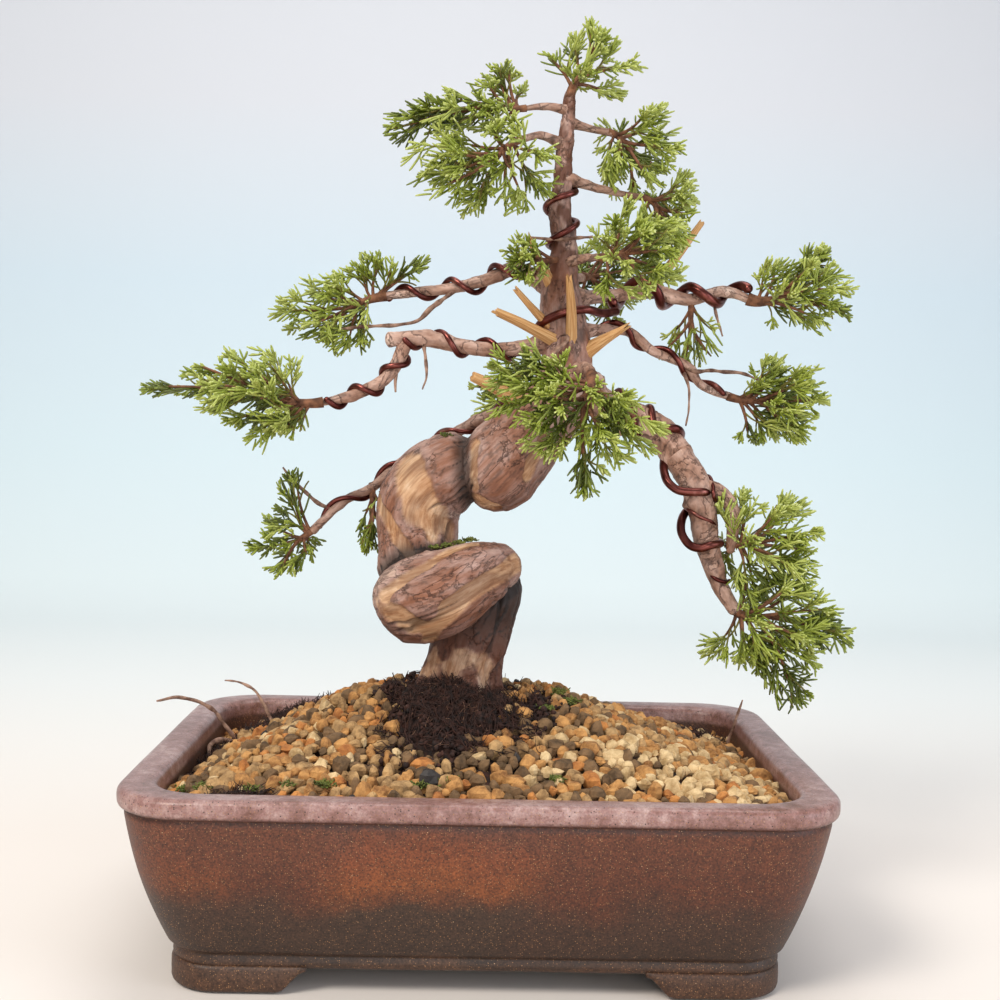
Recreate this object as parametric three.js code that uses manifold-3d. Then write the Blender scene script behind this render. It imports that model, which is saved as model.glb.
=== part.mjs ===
import * as THREE from 'three';
import { mergeVertices } from 'three/addons/utils/BufferGeometryUtils.js';
import Module from 'manifold-3d';

// A juniper bonsai trained with wire, in a footed stoneware pot. Millimetres, +Z up.
// Places are given from the middle of the pot at table height: x right, y to the back, z up.
// At the end the whole part is shifted so that the bottom middle of its box is the origin.

const wasm = await Module();
wasm.setup();

// Gap between neighbouring solids, how far a cutter runs past what it cuts, the smallest detail that a
// join keeps, and how close two corners must lie to be one.
const CLEAR = 0.3;
const OVERCUT = 1;
const SMALLEST_EDGE = 0.02;
const SAME_CORNER = 1e-4;

// Pot: outer size at the rim, and the wall, lip and feet.
const POT_WIDTH = 280;
const POT_DEPTH = 205;
const POT_HEIGHT = 80;
const POT_CORNER = 29;
const CORNER_STEPS = 4;
const CORNER_TIGHTENING = 0.45;
const LIP_WIDTH = 14;
const LIP_HEIGHT = 7.5;
const LIP_OVERHANG = 2.2;
const LIP_ROUNDING = 1.8;
const WALL_INSET = 21.5;
const WALL_BOW = 2.2;
const WALL_BOW_SHARE = 0.45;
const WALL_LEVELS = 6;
const WALL_THICKNESS = 10;
const INNER_LEVELS = 4;
const BASE_HEIGHT = 9.5;
const FLOOR_HEIGHT = 19;
const FOOT_HEIGHT = 14;
const FOOT_INSET = 19.5;
const FOOT_WIDTH = 14;
const FOOT_LENGTH_X = 51;
const FOOT_LENGTH_Y = 42;
const FOOT_END_SLOPE = 7;

// Soil: a mound that rises from the walls to the foot of the trunk, higher at the front and the right.
const GROUND = 102;
const SOIL_EDGE = 60;
const SOIL_FRONT_RISE = 15;
const SOIL_RIGHT_RISE = 4;
const SOIL_STEEPENING = 1.15;
const SOIL_RINGS = 5;
const SOIL_LUMP = 2;
const SOIL_TOP_LENGTH = 88;
const SOIL_TOP_DEPTH = 52;
const SOIL_TOP_SHIFT = 6;

// Trunk: lobes of a corkscrew, each a list of stations x, y, z and radius.
const TRUNK_SIDES = 12;
const LOBE_RINGS = 7;
const LEADER_RINGS = 18;
const DOME_RINGS = 2;
const ROOT_RIBS = 5;
const ROOT_RIB_DEPTH = 0.14;
const ROOT_RIB_REACH = 0.35;
const STEM = [
  [-13, 8, 90, 22], [-11, 8, 100, 18.5], [-8, 9, 114, 16], [-3, 10, 130, 15.5], [3, 9, 146, 14.5],
];
const COIL = [
  [6, -2, 158, 10.5], [-5, -13, 155.5, 14.5], [-17, -17, 149.5, 18], [-28, -12, 146, 18.8],
];
const RISE = [
  [-29.5, -2, 153, 15.5], [-29.5, 7, 168, 16.8], [-29, 8, 184, 17.8], [-23, 6, 194, 17.3],
  [-14, 4, 200, 16.5],
];
const LEADER = [
  [5, 0, 202, 19], [20, 0, 218, 15], [31, 2, 233, 12.5], [35, 3, 249, 10.5],
  [33, 3, 265, 9.5], [31, 2, 280, 8.2], [32, 1, 299, 5.6], [30, 0, 313, 5], [31, 0, 333, 4.2],
  [32, 0, 352, 3.4], [33, 0, 364, 2.4],
];

// Boughs: stations x, y, z and radius, from the trunk's middle to where each enters its foliage.
const BOUGH_SIDES = 6;
const RINGS_PER_STATION = 1.5;
const BOUGHS = {
  lower_left: [
    [30, 4, 233, 3.6], [16, 20, 230, 3.3], [-2, 27, 223, 3.2], [-22, 30, 212, 3], [-40, 27, 201, 2.8],
    [-51, 21, 191, 2.5], [-63, 15, 185, 2.3], [-71, 9, 177, 2.1], [-76, 6, 172, 1.8],
  ],
  left_middle_inner: [
    [33, 3, 262, 5.4], [23, 3, 256, 5.2], [5, 0, 253, 5], [-11, -4, 254, 4.8], [-30, -6, 257, 4.8],
    [-42, -7, 256, 4.4],
  ],
  left_middle_outer: [
    [-35, -7, 256, 4.4], [-39, -8, 246, 4.2], [-44, -9, 239, 3.9], [-52, -10, 234, 3.5],
    [-63, -11, 230, 3], [-72, -12, 228, 2.4],
  ],
  left_upper: [
    [31, 2, 280, 5.2], [24, 6, 283, 4.8], [12, 12, 290, 4.4], [-2, 16, 285, 4.4], [-18, 18, 281, 4],
    [-35, 20, 279, 3.4], [-48, 21, 277, 2.6],
  ],
  apex_left_high: [[32, 0, 357, 2.4], [22, -2, 358, 2], [12, -4, 356, 1.7]],
  apex_left_low: [[31, 0, 342, 2.7], [20, -8, 344, 2.1], [11, -12, 341, 1.8]],
  apex_right_high: [[32, 0, 352, 2.6], [43, 4, 350, 2.1], [52, 6, 349, 1.8]],
  apex_right_low: [[31, 0, 328, 3.2], [44, 4, 325, 2.6], [56, 7, 323, 2.2], [67, 9, 322, 1.8]],
  front_right: [[32, 1, 291, 3], [42, -16, 292, 2.4], [47, -24, 291, 2]],
  right_middle: [
    [32, 2, 276, 5.4], [55, 14, 279, 4.8], [74, 18, 282, 4.6], [90, 20, 279, 4.6], [106, 20, 283, 4.2],
    [118, 19, 279, 3.2],
  ],
  right_lower: [
    [34, 3, 262, 3.8], [48, 6, 263, 3.3], [62, 10, 263, 3.1], [73, 12, 255, 3], [88, 13, 249, 2.9],
    [96, 13, 240, 2.6], [109, 12, 235, 2.1],
  ],
  cascade_inner: [
    [33, 3, 243, 7], [46, 11, 234, 6.6], [60, 14, 228, 6.4], [77, 10, 219, 6.4], [84, 7, 209, 6.4],
  ],
  cascade_outer: [
    [84.2, 6.9, 208.7, 6.4], [91, 4, 199, 6.2], [95, 2, 188, 5.8], [98, 0, 170, 4.8],
    [104, -2, 152, 3.4], [110, -4, 142, 2.6],
  ],
  front: [[35, 2, 243, 4.4], [41, -12, 245, 3.6], [43, -22, 244, 3.2], [43, -29, 241, 2.8]],
  back_upper: [[32, 2, 284, 3.6], [38, 18, 287, 2.8], [43, 31, 289, 2.2]],
  back_lower: [[34, 3, 252, 4.2], [31, 18, 247, 3.4], [27, 33, 241, 2.6]],
};

// Boughs that spring from another bough or carry one on, where the others spring from the trunk.
const SPRINGS_FROM = { left_middle_outer: 'left_middle_inner' };
const CONTINUES = ['cascade_outer'];

// Deadwood: stripped stubs, from inside the limb that they stand on to their broken or cut end.
const STUB_SIDES = 6;
const STUBS = {
  high_left: [[28, 0, 279, 2.6], [21, -8, 291, 2.1], [15, -14, 302, 1]],
  mid_left: [[30, 0, 260, 2.4], [19, -8, 270, 2], [10, -14, 279, 1.2]],
  low_left: [[30, -3, 257, 2.8], [14, -11, 264, 2.5], [1, -16, 269, 1.8]],
  front: [[36, -2, 252, 2.8], [35, -11, 270, 2.2], [33, -17, 286, 1.2]],
  right: [[38, 0, 250, 4], [50, -5, 258, 2.8], [61, -10, 265, 1.2]],
  cut_left: [[20, -2, 226, 3.6], [4, -9, 236, 3.2], [-7, -12, 241, 3]],
  far_right: [[72, 18, 282, 2.8], [84, 22, 298, 2.6], [96, 26, 315, 2.2]],
};
const STUB_ON_BOUGH = { far_right: 'right_middle' };

// Training wire: the limb it winds round, the stretch of it by station, its turns, radius and start.
// The usual start lays the middle of each straight length of wire against an edge of the limb.
const WIRE_SIDES = 4;
const WIRE_STEPS = 6;
const WIRE_GAP = 0.45;
const WIRE_START = 1 / 12;
const WIRES = {
  leader: { from: 6.05, to: 7.55, turns: 2.5, radius: 1.2 },
  lower_left: { from: 1.2, to: 7.2, turns: 5, radius: 1, start: 7 / 12 },
  left_middle_inner: { from: 1.6, to: 4.3, turns: 3, radius: 1.1 },
  left_middle_outer: { from: 1.1, to: 4.4, turns: 3, radius: 1.1 },
  left_upper: { from: 1.7, to: 5.6, turns: 4.5, radius: 1.1 },
  right_middle: { from: 1.1, to: 4.6, turns: 4, radius: 1.6, start: 7 / 12 },
  right_lower: { from: 1.2, to: 5.6, turns: 4, radius: 0.9 },
  cascade_inner: { from: 1.4, to: 3.7, turns: 2, radius: 1.6 },
  cascade_outer: { from: 0.3, to: 2.6, turns: 3, radius: 1.6 },
};

// Foliage: each mass has a centre, half sizes, a tilt in degrees (rising to the right), furthest tips,
// a number of twigs, and the bough whose tip its stem meets, or the limb whose side it springs from.
const FOLIAGE = {
  lower_left: {
    bough: 'lower_left', centre: [-86, 4, 163], half: [18, 17, 18], tips: [[-82, 6, 199]], twigs: 8,
  },
  lower_left_sprig: {
    side: 'lower_left', root: [-51, 21, 191], centre: [-50, 15, 176], half: [9, 10, 14], twigs: 5,
  },
  left_middle: {
    bough: 'left_middle_outer', centre: [-105, -14, 232], half: [35, 28, 22], tilt: -10,
    tips: [[-148, -14, 234], [-72, -14, 217]], twigs: 9,
  },
  left_upper: {
    bough: 'left_upper', centre: [-69, 20, 272], half: [27, 24, 20], tilt: 8,
    tips: [[-26, 18, 293], [-46, 18, 295]], twigs: 8,
  },
  apex_left_high: {
    bough: 'apex_left_high', centre: [-10, -6, 357], half: [38, 24, 14], tilt: 14,
    tips: [[-47, -8, 344], [9, -6, 374]], twigs: 8,
  },
  apex_left_low: {
    bough: 'apex_left_low', centre: [-3, -18, 330], half: [34, 27, 20], twigs: 9,
  },
  apex: {
    trunkTip: true, centre: [41, 0, 378], half: [22, 24, 18], tips: [[41, 0, 396]], twigs: 8,
  },
  apex_right_high: {
    bough: 'apex_right_high', centre: [68, 8, 347], half: [20, 26, 20], twigs: 6,
  },
  apex_right_low: {
    bough: 'apex_right_low', centre: [81, 10, 318], half: [14, 26, 24], twigs: 7,
  },
  front_right: {
    bough: 'front_right', centre: [59, -36, 292], half: [23, 22, 22], twigs: 8,
  },
  front_left_sprig: {
    side: 'trunk', root: [32, 1, 293], centre: [14, -25, 288], half: [12, 13, 13], twigs: 6,
  },
  right_middle: {
    bough: 'right_middle', centre: [143, 18, 284], half: [23, 24, 20],
    tips: [[150, 18, 306], [166, 18, 271]], twigs: 7,
  },
  right_hanging: {
    side: 'right_middle', root: [91, 20, 279], centre: [95, 20, 259], half: [14, 15, 13], twigs: 6,
  },
  right_lower: {
    bough: 'right_lower', centre: [133, 12, 233], half: [21, 26, 21],
    tips: [[112, 12, 216], [120, 14, 249]], twigs: 6,
  },
  cascade_upper: {
    side: 'cascade_outer', root: [98, 0, 168], centre: [128, 0, 176], half: [24, 26, 26], twigs: 8,
  },
  cascade_lower: {
    bough: 'cascade_outer', centre: [133, -4, 132], half: [30, 26, 21],
    tips: [[139, -6, 97], [166, -4, 129], [119, -4, 112]], twigs: 8,
  },
  front: {
    bough: 'front', centre: [34, -46, 228], half: [38, 24, 20], tilt: -18,
    tips: [[41, -46, 191], [-3, -40, 252]], twigs: 8,
  },
  back_upper: {
    bough: 'back_upper', centre: [52, 56, 292], half: [26, 24, 24], twigs: 7,
  },
  back_lower: {
    bough: 'back_lower', centre: [18, 56, 230], half: [34, 24, 26], twigs: 8,
  },
};
const GOLDEN_ANGLE = Math.PI * (3 - Math.sqrt(5));
const TIP_REACH = 10;
const STEM_SHARE = 0.75;
const STEM_RADIUS = 1.5;
const STEM_STRAIGHT = 2;
const TWIG_RADIUS = 1.1;
const TWIG_END_RADIUS = 0.9;
const STEM_SIDES = 3;
const STEM_RINGS = 3;
const TWIG_SIDES = 4;
const TWIG_RINGS = 1;
const TWIG_SAMPLES = 6;
const TWIG_PULL = 0.45;
const TWIG_BEND = 0.12;
const TWIG_SHORTEST = 0.3;
const FIRST_TWIG = 0.3;
const LAST_TWIG = 0.98;
const INNER_TWIGS = 0.3;
const INNER_REACH = 0.62;
const SPRAY_LENGTH = 1;
const SPRAY_SHORTEST = 10;
const SPRAY_LONGEST = 24;
const SPRAY_TEETH = 5;
const SPRAY_FAN = 0.95;
const TIP_SPRAY_FAN = 0.6;
const SPRAY_VALLEY = 0.52;
const SPRAY_HEART = 0.22;
const SPRAY_THICKNESS = 0.11;
const SIDE_TOOTH_CUT = 0.2;
const TOOTH_TRIMS = [1, 0.86, 0.72, 0.6];
const VALLEY_MOST = 0.9;
const SPRAY_MARKS = [0.4, 0.7, 1];
const SPRAY_SPACING = 0.5;
const OWN_MARGIN = 0.08;
const LIMB_MARGIN = 0.7;
const SAMPLE_SPACING = 2;

// Looks: colour, roughness and metalness of each material.
const LOOKS = {
  pot: ['#6f4a3c', 0.75, 0],
  soil: ['#b98a52', 0.95, 0],
  bark: ['#8a7468', 0.85, 0],
  bough: ['#8d6f5e', 0.8, 0],
  deadwood: ['#d3a86c', 0.75, 0],
  wire: ['#5c3229', 0.4, 1],
  foliage: ['#7c9a3c', 0.7, 0],
  foliage_dark: ['#55713a', 0.7, 0],
};

function material(look) {
  const [color, roughness, metalness] = LOOKS[look];
  return new THREE.MeshStandardMaterial({ color, roughness, metalness });
}

function vector([x, y, z]) {
  return new THREE.Vector3(x, y, z);
}

// Turns a closed geometry into a solid that can be joined and cut.
function toSolid(geometry) {
  const bare = geometry.clone();
  bare.deleteAttribute('normal');
  bare.deleteAttribute('uv');
  const merged = mergeVertices(bare, SAME_CORNER);
  const mesh = new wasm.Mesh({
    numProp: 3,
    vertProperties: Float32Array.from(merged.attributes.position.array),
    triVerts: Uint32Array.from(merged.index.array),
  });
  return new wasm.Manifold(mesh);
}

// Turns a solid back into a geometry: only its largest body, so loose scraps and sealed hollows go.
function toGeometry(solid) {
  const bodies = solid.simplify(SMALLEST_EDGE).decompose();
  const largest = bodies.reduce((best, body) => (body.volume() > best.volume() ? body : best));
  const { vertProperties, triVerts } = largest.getMesh();
  const geometry = new THREE.BufferGeometry();
  geometry.setAttribute('position', new THREE.BufferAttribute(vertProperties, 3));
  geometry.setIndex(new THREE.BufferAttribute(triVerts, 1));
  return geometry;
}

function joined(solids) {
  return solids.reduce((sum, solid) => sum.add(solid));
}

// Closed skin over rings of points that all run the same way round, with a pole closing each end.
function skin(rings, startPole, endPole) {
  const count = rings[0].length;
  const points = [...rings.flat(), startPole, endPole];
  const start = points.length - 2;
  const end = points.length - 1;
  const last = (rings.length - 1) * count;
  const index = [];
  for (let k = 0; k < count; k += 1) {
    const next = (k + 1) % count;
    index.push(start, next, k, end, last + k, last + next);
    for (let ring = 0; ring < rings.length - 1; ring += 1) {
      const low = ring * count;
      const high = low + count;
      index.push(low + k, low + next, high + next, low + k, high + next, high + k);
    }
  }
  const geometry = new THREE.BufferGeometry().setFromPoints(points);
  geometry.setIndex(index);
  return geometry;
}

function limbCurve(stations) {
  return new THREE.CatmullRomCurve3(stations.map(vector), false, 'centripetal');
}

function radiusAt(stations, station) {
  const low = Math.min(Math.floor(station), stations.length - 2);
  return THREE.MathUtils.lerp(stations[low][3], stations[low + 1][3], station - low);
}

// Middle, direction, side and radius at even steps along a limb, with sides that don't twist.
function limbFrames(stations, count, from = 0, to = stations.length - 1) {
  const curve = limbCurve(stations);
  const frames = [];
  let side = new THREE.Vector3(0.3, 1, 0.2);
  for (let i = 0; i < count; i += 1) {
    const station = THREE.MathUtils.lerp(from, to, i / (count - 1));
    const along = station / (stations.length - 1);
    const heading = curve.getTangent(along);
    side = side.clone().addScaledVector(heading, -side.dot(heading)).normalize();
    const radius = radiusAt(stations, station);
    frames.push({ middle: curve.getPoint(along), heading, side, radius, share: i / (count - 1) });
  }
  return frames;
}

function ring({ middle, heading, side }, radius, sides, swell = () => 1) {
  const across = heading.clone().cross(side);
  return Array.from({ length: sides }, (_, k) => {
    const angle = (2 * Math.PI * k) / sides;
    const reach = radius * swell(angle);
    return middle.clone()
      .addScaledVector(side, reach * Math.cos(angle))
      .addScaledVector(across, reach * Math.sin(angle));
  });
}

// Extra frames that round off a limb's end, each a slice of a half ball.
function domeFrames(frame, direction) {
  const slices = [];
  for (let i = 1; i <= DOME_RINGS; i += 1) {
    const angle = (Math.PI / 2) * (i / (DOME_RINGS + 1));
    const middle = frame.middle.clone()
      .addScaledVector(frame.heading, direction * frame.radius * Math.sin(angle));
    slices.push({ ...frame, middle, radius: frame.radius * Math.cos(angle) });
  }
  return slices;
}

// Tapering limb through its stations. Domed ends are round, the others flat.
function limb(stations, sides, rings, { domes = [false, false], grow = 0, swell } = {}) {
  const frames = limbFrames(stations, rings).map((frame) => ({ ...frame, radius: frame.radius + grow }));
  const first = frames[0];
  const final = frames[frames.length - 1];
  const all = [...frames];
  let startPole = first.middle.clone();
  let endPole = final.middle.clone();
  if (domes[0]) {
    all.unshift(...domeFrames(first, -1).reverse());
    startPole = first.middle.clone().addScaledVector(first.heading, -first.radius);
  }
  if (domes[1]) {
    all.push(...domeFrames(final, 1));
    endPole = final.middle.clone().addScaledVector(final.heading, final.radius);
  }
  const rims = all.map((frame) => {
    const swelling = swell ? (angle) => swell(angle, frame.share) : undefined;
    return ring(frame, frame.radius, sides, swelling);
  });
  return skin(rims, startPole, endPole);
}

// Ring of a rectangle with round corners, set in from the pot's rim outline by inset.
function potRing(inset, z) {
  const corner = POT_CORNER - CORNER_TIGHTENING * inset;
  const reachX = POT_WIDTH / 2 - inset - corner;
  const reachY = POT_DEPTH / 2 - inset - corner;
  const points = [];
  for (let quarter = 0; quarter < 4; quarter += 1) {
    const signX = quarter === 0 || quarter === 3 ? 1 : -1;
    const signY = quarter < 2 ? 1 : -1;
    for (let step = 0; step <= CORNER_STEPS; step += 1) {
      const angle = (Math.PI / 2) * (quarter + step / CORNER_STEPS);
      const x = signX * reachX + corner * Math.cos(angle);
      const y = signY * reachY + corner * Math.sin(angle);
      points.push(new THREE.Vector3(x, y, z));
    }
  }
  return points;
}

// Inset of the outer wall below the lip: bowed, turning in faster near the base.
function wallInset(z) {
  const top = POT_HEIGHT - LIP_HEIGHT;
  const drop = Math.max(0, (top - z) / (top - BASE_HEIGHT));
  const bow = THREE.MathUtils.lerp(drop, drop ** WALL_BOW, WALL_BOW_SHARE);
  return LIP_OVERHANG + (WALL_INSET - LIP_OVERHANG) * bow;
}

function potBody() {
  const lipFoot = POT_HEIGHT - LIP_HEIGHT;
  const rings = [potRing(wallInset(BASE_HEIGHT) + LIP_ROUNDING, BASE_HEIGHT)];
  for (let level = 0; level <= WALL_LEVELS; level += 1) {
    const z = THREE.MathUtils.lerp(BASE_HEIGHT + LIP_ROUNDING, lipFoot, level / WALL_LEVELS);
    rings.push(potRing(wallInset(z), z));
  }
  rings.push(potRing(0, lipFoot + LIP_ROUNDING));
  rings.push(potRing(0, POT_HEIGHT - LIP_ROUNDING));
  rings.push(potRing(LIP_ROUNDING, POT_HEIGHT));
  rings.push(potRing(LIP_WIDTH - LIP_ROUNDING, POT_HEIGHT));
  rings.push(...innerRings(0).reverse());
  return skin(rings, new THREE.Vector3(0, 0, BASE_HEIGHT), new THREE.Vector3(0, 0, FLOOR_HEIGHT));
}

// Rings of the inside from the floor up to the lip, set in further by gap.
function innerRings(gap) {
  return Array.from({ length: INNER_LEVELS + 1 }, (_, level) => {
    const share = level / INNER_LEVELS;
    const z = THREE.MathUtils.lerp(FLOOR_HEIGHT, POT_HEIGHT - LIP_ROUNDING, share);
    const inset = Math.max(LIP_WIDTH, wallInset(z) + WALL_THICKNESS);
    return potRing(inset + gap, z + gap);
  });
}

// Prism along x or y whose section is wider at the bottom, taken out between two feet.
function footGap(halfLength, reach, turned) {
  const slope = FOOT_END_SLOPE;
  const section = new THREE.Shape();
  section.moveTo(-halfLength - slope, -OVERCUT);
  section.lineTo(halfLength + slope, -OVERCUT);
  section.lineTo(halfLength, BASE_HEIGHT);
  section.lineTo(halfLength, FOOT_HEIGHT + OVERCUT);
  section.lineTo(-halfLength, FOOT_HEIGHT + OVERCUT);
  section.lineTo(-halfLength, BASE_HEIGHT);
  section.closePath();
  const prism = new THREE.ExtrudeGeometry(section, { depth: 2 * reach, bevelEnabled: false });
  prism.translate(0, 0, -reach);
  prism.rotateX(Math.PI / 2);
  if (turned) {
    prism.rotateZ(Math.PI / 2);
  }
  return prism;
}

// Four bracket feet: a band round the base, opened in the middle of each side.
function potFeet() {
  const outer = [potRing(FOOT_INSET, 0), potRing(FOOT_INSET, FOOT_HEIGHT)];
  const low = -OVERCUT;
  const high = FOOT_HEIGHT + OVERCUT;
  const inner = [potRing(FOOT_INSET + FOOT_WIDTH, low), potRing(FOOT_INSET + FOOT_WIDTH, high)];
  const band = skin(outer, new THREE.Vector3(), new THREE.Vector3(0, 0, FOOT_HEIGHT));
  const core = skin(inner, new THREE.Vector3(0, 0, low), new THREE.Vector3(0, 0, high));
  const gapX = POT_WIDTH / 2 - FOOT_INSET - FOOT_LENGTH_X - FOOT_END_SLOPE;
  const gapY = POT_DEPTH / 2 - FOOT_INSET - FOOT_LENGTH_Y - FOOT_END_SLOPE;
  return toSolid(band)
    .subtract(toSolid(core))
    .subtract(toSolid(footGap(gapX, POT_DEPTH, false)))
    .subtract(toSolid(footGap(gapY, POT_WIDTH, true)));
}

// Height of the soil at a share of the way from the wall to the mound's flat top, seen from an angle.
function soilHeight(share, angle) {
  const front = Math.max(0, -Math.sin(angle));
  const right = Math.max(0, Math.cos(angle)) ** 2;
  const edge = SOIL_EDGE + SOIL_FRONT_RISE * front + SOIL_RIGHT_RISE * right;
  return THREE.MathUtils.lerp(edge, GROUND - CLEAR, share ** SOIL_STEEPENING);
}

// Lumps of grit: the points of the mound stand high and low by turns, but not round its flat top.
function soilLump(ring, number) {
  return ring < SOIL_RINGS ? SOIL_LUMP * (-1) ** (ring + number) : 0;
}

// The mound with its foot spread past the walls, cut to the inside of the pot.
function soilSolid() {
  const outline = potRing(0, 0);
  const [trunkX, trunkY] = STEM[1];
  const mound = [outline];
  for (let i = 0; i <= SOIL_RINGS; i += 1) {
    const share = i / SOIL_RINGS;
    mound.push(outline.map((point, number) => {
      const angle = Math.atan2(point.y, point.x);
      const topX = trunkX + (SOIL_TOP_LENGTH / 2) * Math.cos(angle);
      const topY = trunkY + SOIL_TOP_SHIFT + (SOIL_TOP_DEPTH / 2) * Math.sin(angle);
      const x = THREE.MathUtils.lerp(point.x, topX, share);
      const y = THREE.MathUtils.lerp(point.y, topY, share);
      return new THREE.Vector3(x, y, soilHeight(share, angle) + soilLump(i, number));
    }));
  }
  const heap = skin(mound, new THREE.Vector3(), new THREE.Vector3(trunkX, trunkY, GROUND - CLEAR));
  const inside = innerRings(CLEAR);
  const lowest = new THREE.Vector3(0, 0, FLOOR_HEIGHT + CLEAR);
  const mouth = inside[INNER_LEVELS].map((point) => point.clone().setZ(GROUND));
  const cavity = skin([...inside, mouth], lowest, new THREE.Vector3(0, 0, GROUND));
  return toSolid(heap).intersect(toSolid(cavity));
}

// Root flare: ribs that die out a little way up the stem.
function rootSwell(angle, share) {
  const fade = Math.max(0, 1 - share / ROOT_RIB_REACH);
  return 1 + ROOT_RIB_DEPTH * fade * Math.cos(ROOT_RIBS * angle);
}

// The trunk's lobes joined, all of them thicker by grow. The cut at ground level is flat.
function trunkSolid(grow) {
  const both = { domes: [true, true], grow };
  const lobes = [
    limb(STEM, TRUNK_SIDES, LOBE_RINGS, { domes: [false, true], grow, swell: rootSwell }),
    limb(COIL, TRUNK_SIDES, LOBE_RINGS, both),
    limb(RISE, TRUNK_SIDES, LOBE_RINGS, both),
    limb(LEADER, TRUNK_SIDES, LEADER_RINGS, { domes: [true, false], grow }),
  ];
  const below = new THREE.BoxGeometry(POT_WIDTH, POT_DEPTH, GROUND);
  below.translate(0, 0, GROUND / 2);
  return joined(lobes.map(toSolid)).subtract(toSolid(below));
}

const TRUNK_SPACE = trunkSolid(CLEAR);

function boughRings(stations) {
  return Math.round(RINGS_PER_STATION * stations.length);
}

// Space that a limb takes up with a clear gap round it.
function limbSpace(name) {
  if (name === 'trunk') {
    return TRUNK_SPACE;
  }
  const stations = BOUGHS[name];
  return toSolid(limb(stations, BOUGH_SIDES, boughRings(stations), { grow: CLEAR }));
}

function boughSolid(name) {
  const stations = BOUGHS[name];
  const whole = toSolid(limb(stations, BOUGH_SIDES, boughRings(stations)));
  return CONTINUES.includes(name) ? whole : whole.subtract(limbSpace(SPRINGS_FROM[name] ?? 'trunk'));
}

// Stations of a wire that winds round a limb, just clear of its bark.
function wireStations(limbStations, { from, to, turns, radius, start = WIRE_START }) {
  const count = Math.round(turns * WIRE_STEPS) + 1;
  const bulge = 1 / Math.cos(Math.PI / WIRE_STEPS);
  return limbFrames(limbStations, count, from, to).map((frame) => {
    const reach = (frame.radius + WIRE_GAP + radius) * bulge;
    const angle = 2 * Math.PI * (start + turns * frame.share);
    const across = frame.heading.clone().cross(frame.side);
    const point = frame.middle
      .addScaledVector(frame.side, reach * Math.cos(angle))
      .addScaledVector(across, reach * Math.sin(angle));
    return [point.x, point.y, point.z, radius];
  });
}

// Repeatable stream of numbers from 0 to 1, each worked out from the one before.
const STREAM_SIZE = 2 ** 32;
const STREAM_FACTOR = 1664525;
const STREAM_STEP = 1013904223;
function numberStream(seed) {
  let state = seed;
  return () => {
    state = (state * STREAM_FACTOR + STREAM_STEP) % STREAM_SIZE;
    return state / STREAM_SIZE;
  };
}

// How far a point lies out in a mass: 0 at its centre, 1 at the edge of its space.
function spread(mass, point) {
  const tilt = THREE.MathUtils.degToRad(mass.tilt ?? 0);
  const away = point.clone().sub(vector(mass.centre));
  const along = away.x * Math.cos(tilt) + away.z * Math.sin(tilt);
  const above = away.z * Math.cos(tilt) - away.x * Math.sin(tilt);
  const [halfX, halfY, halfZ] = mass.half;
  let reach = Math.hypot(along / halfX, away.y / halfY, above / halfZ);
  for (const tip of mass.tips ?? []) {
    const line = new THREE.Line3(vector(mass.centre), vector(tip));
    const nearest = line.closestPointToPoint(point, true, new THREE.Vector3());
    reach = Math.min(reach, nearest.distanceTo(point) / TIP_REACH);
  }
  return reach;
}

function ownsPoint(name, point) {
  const own = spread(FOLIAGE[name], point);
  if (own > 1 + OWN_MARGIN) {
    return false;
  }
  return Object.keys(FOLIAGE).every((other) => (
    other === name || spread(FOLIAGE[other], point) > own + OWN_MARGIN
  ));
}

// Balls along every limb, each as wide as the limb with its wire, that foliage stays out of.
function limbBalls() {
  const balls = [];
  const limbs = [
    ['stem', STEM], ['coil', COIL], ['rise', RISE], ['leader', LEADER], ...Object.entries(BOUGHS),
    ...Object.entries(STUBS).map(([name, stations]) => [`stub_${name}`, stations]),
  ];
  for (const [name, stations] of limbs) {
    const wire = WIRES[name] ? WIRE_GAP + 2 * WIRES[name].radius + LIMB_MARGIN : 0;
    const count = Math.ceil(limbCurve(stations).getLength() / SAMPLE_SPACING) + 1;
    for (const { middle, radius } of limbFrames(stations, count)) {
      balls.push({ middle, radius: radius + wire + LIMB_MARGIN });
    }
  }
  return balls;
}
const BALLS = limbBalls();

function clearOfLimbs(point, gap = 0) {
  return BALLS.every(({ middle, radius }) => middle.distanceTo(point) > radius + gap);
}

// Where a mass's stem starts and the way it sets off: just clear of its bough's tip, or in a limb's middle.
function stemStart(mass) {
  if (mass.side) {
    const start = vector(mass.root);
    return { start, heading: vector(mass.centre).sub(start).normalize(), radius: TWIG_RADIUS };
  }
  const stations = mass.trunkTip ? LEADER : BOUGHS[mass.bough];
  const [, tip] = limbFrames(stations, 2);
  const start = tip.middle.clone().addScaledVector(tip.heading, CLEAR);
  return { start, heading: tip.heading, radius: Math.min(STEM_RADIUS, tip.radius) };
}

// Points spread evenly over a mass's space, at a share of the way from its centre to its edge.
function evenTargets(mass, count, share) {
  const tilt = THREE.MathUtils.degToRad(mass.tilt ?? 0);
  const [halfX, halfY, halfZ] = mass.half;
  return Array.from({ length: count }, (_, i) => {
    const height = 1 - (2 * i + 1) / count;
    const out = Math.sqrt(1 - height * height);
    const angle = GOLDEN_ANGLE * i;
    const away = vector([halfX * out * Math.cos(angle), halfY * out * Math.sin(angle), halfZ * height]);
    away.applyAxisAngle(new THREE.Vector3(0, -1, 0), tilt);
    return away.multiplyScalar(share).add(vector(mass.centre));
  });
}

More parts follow.
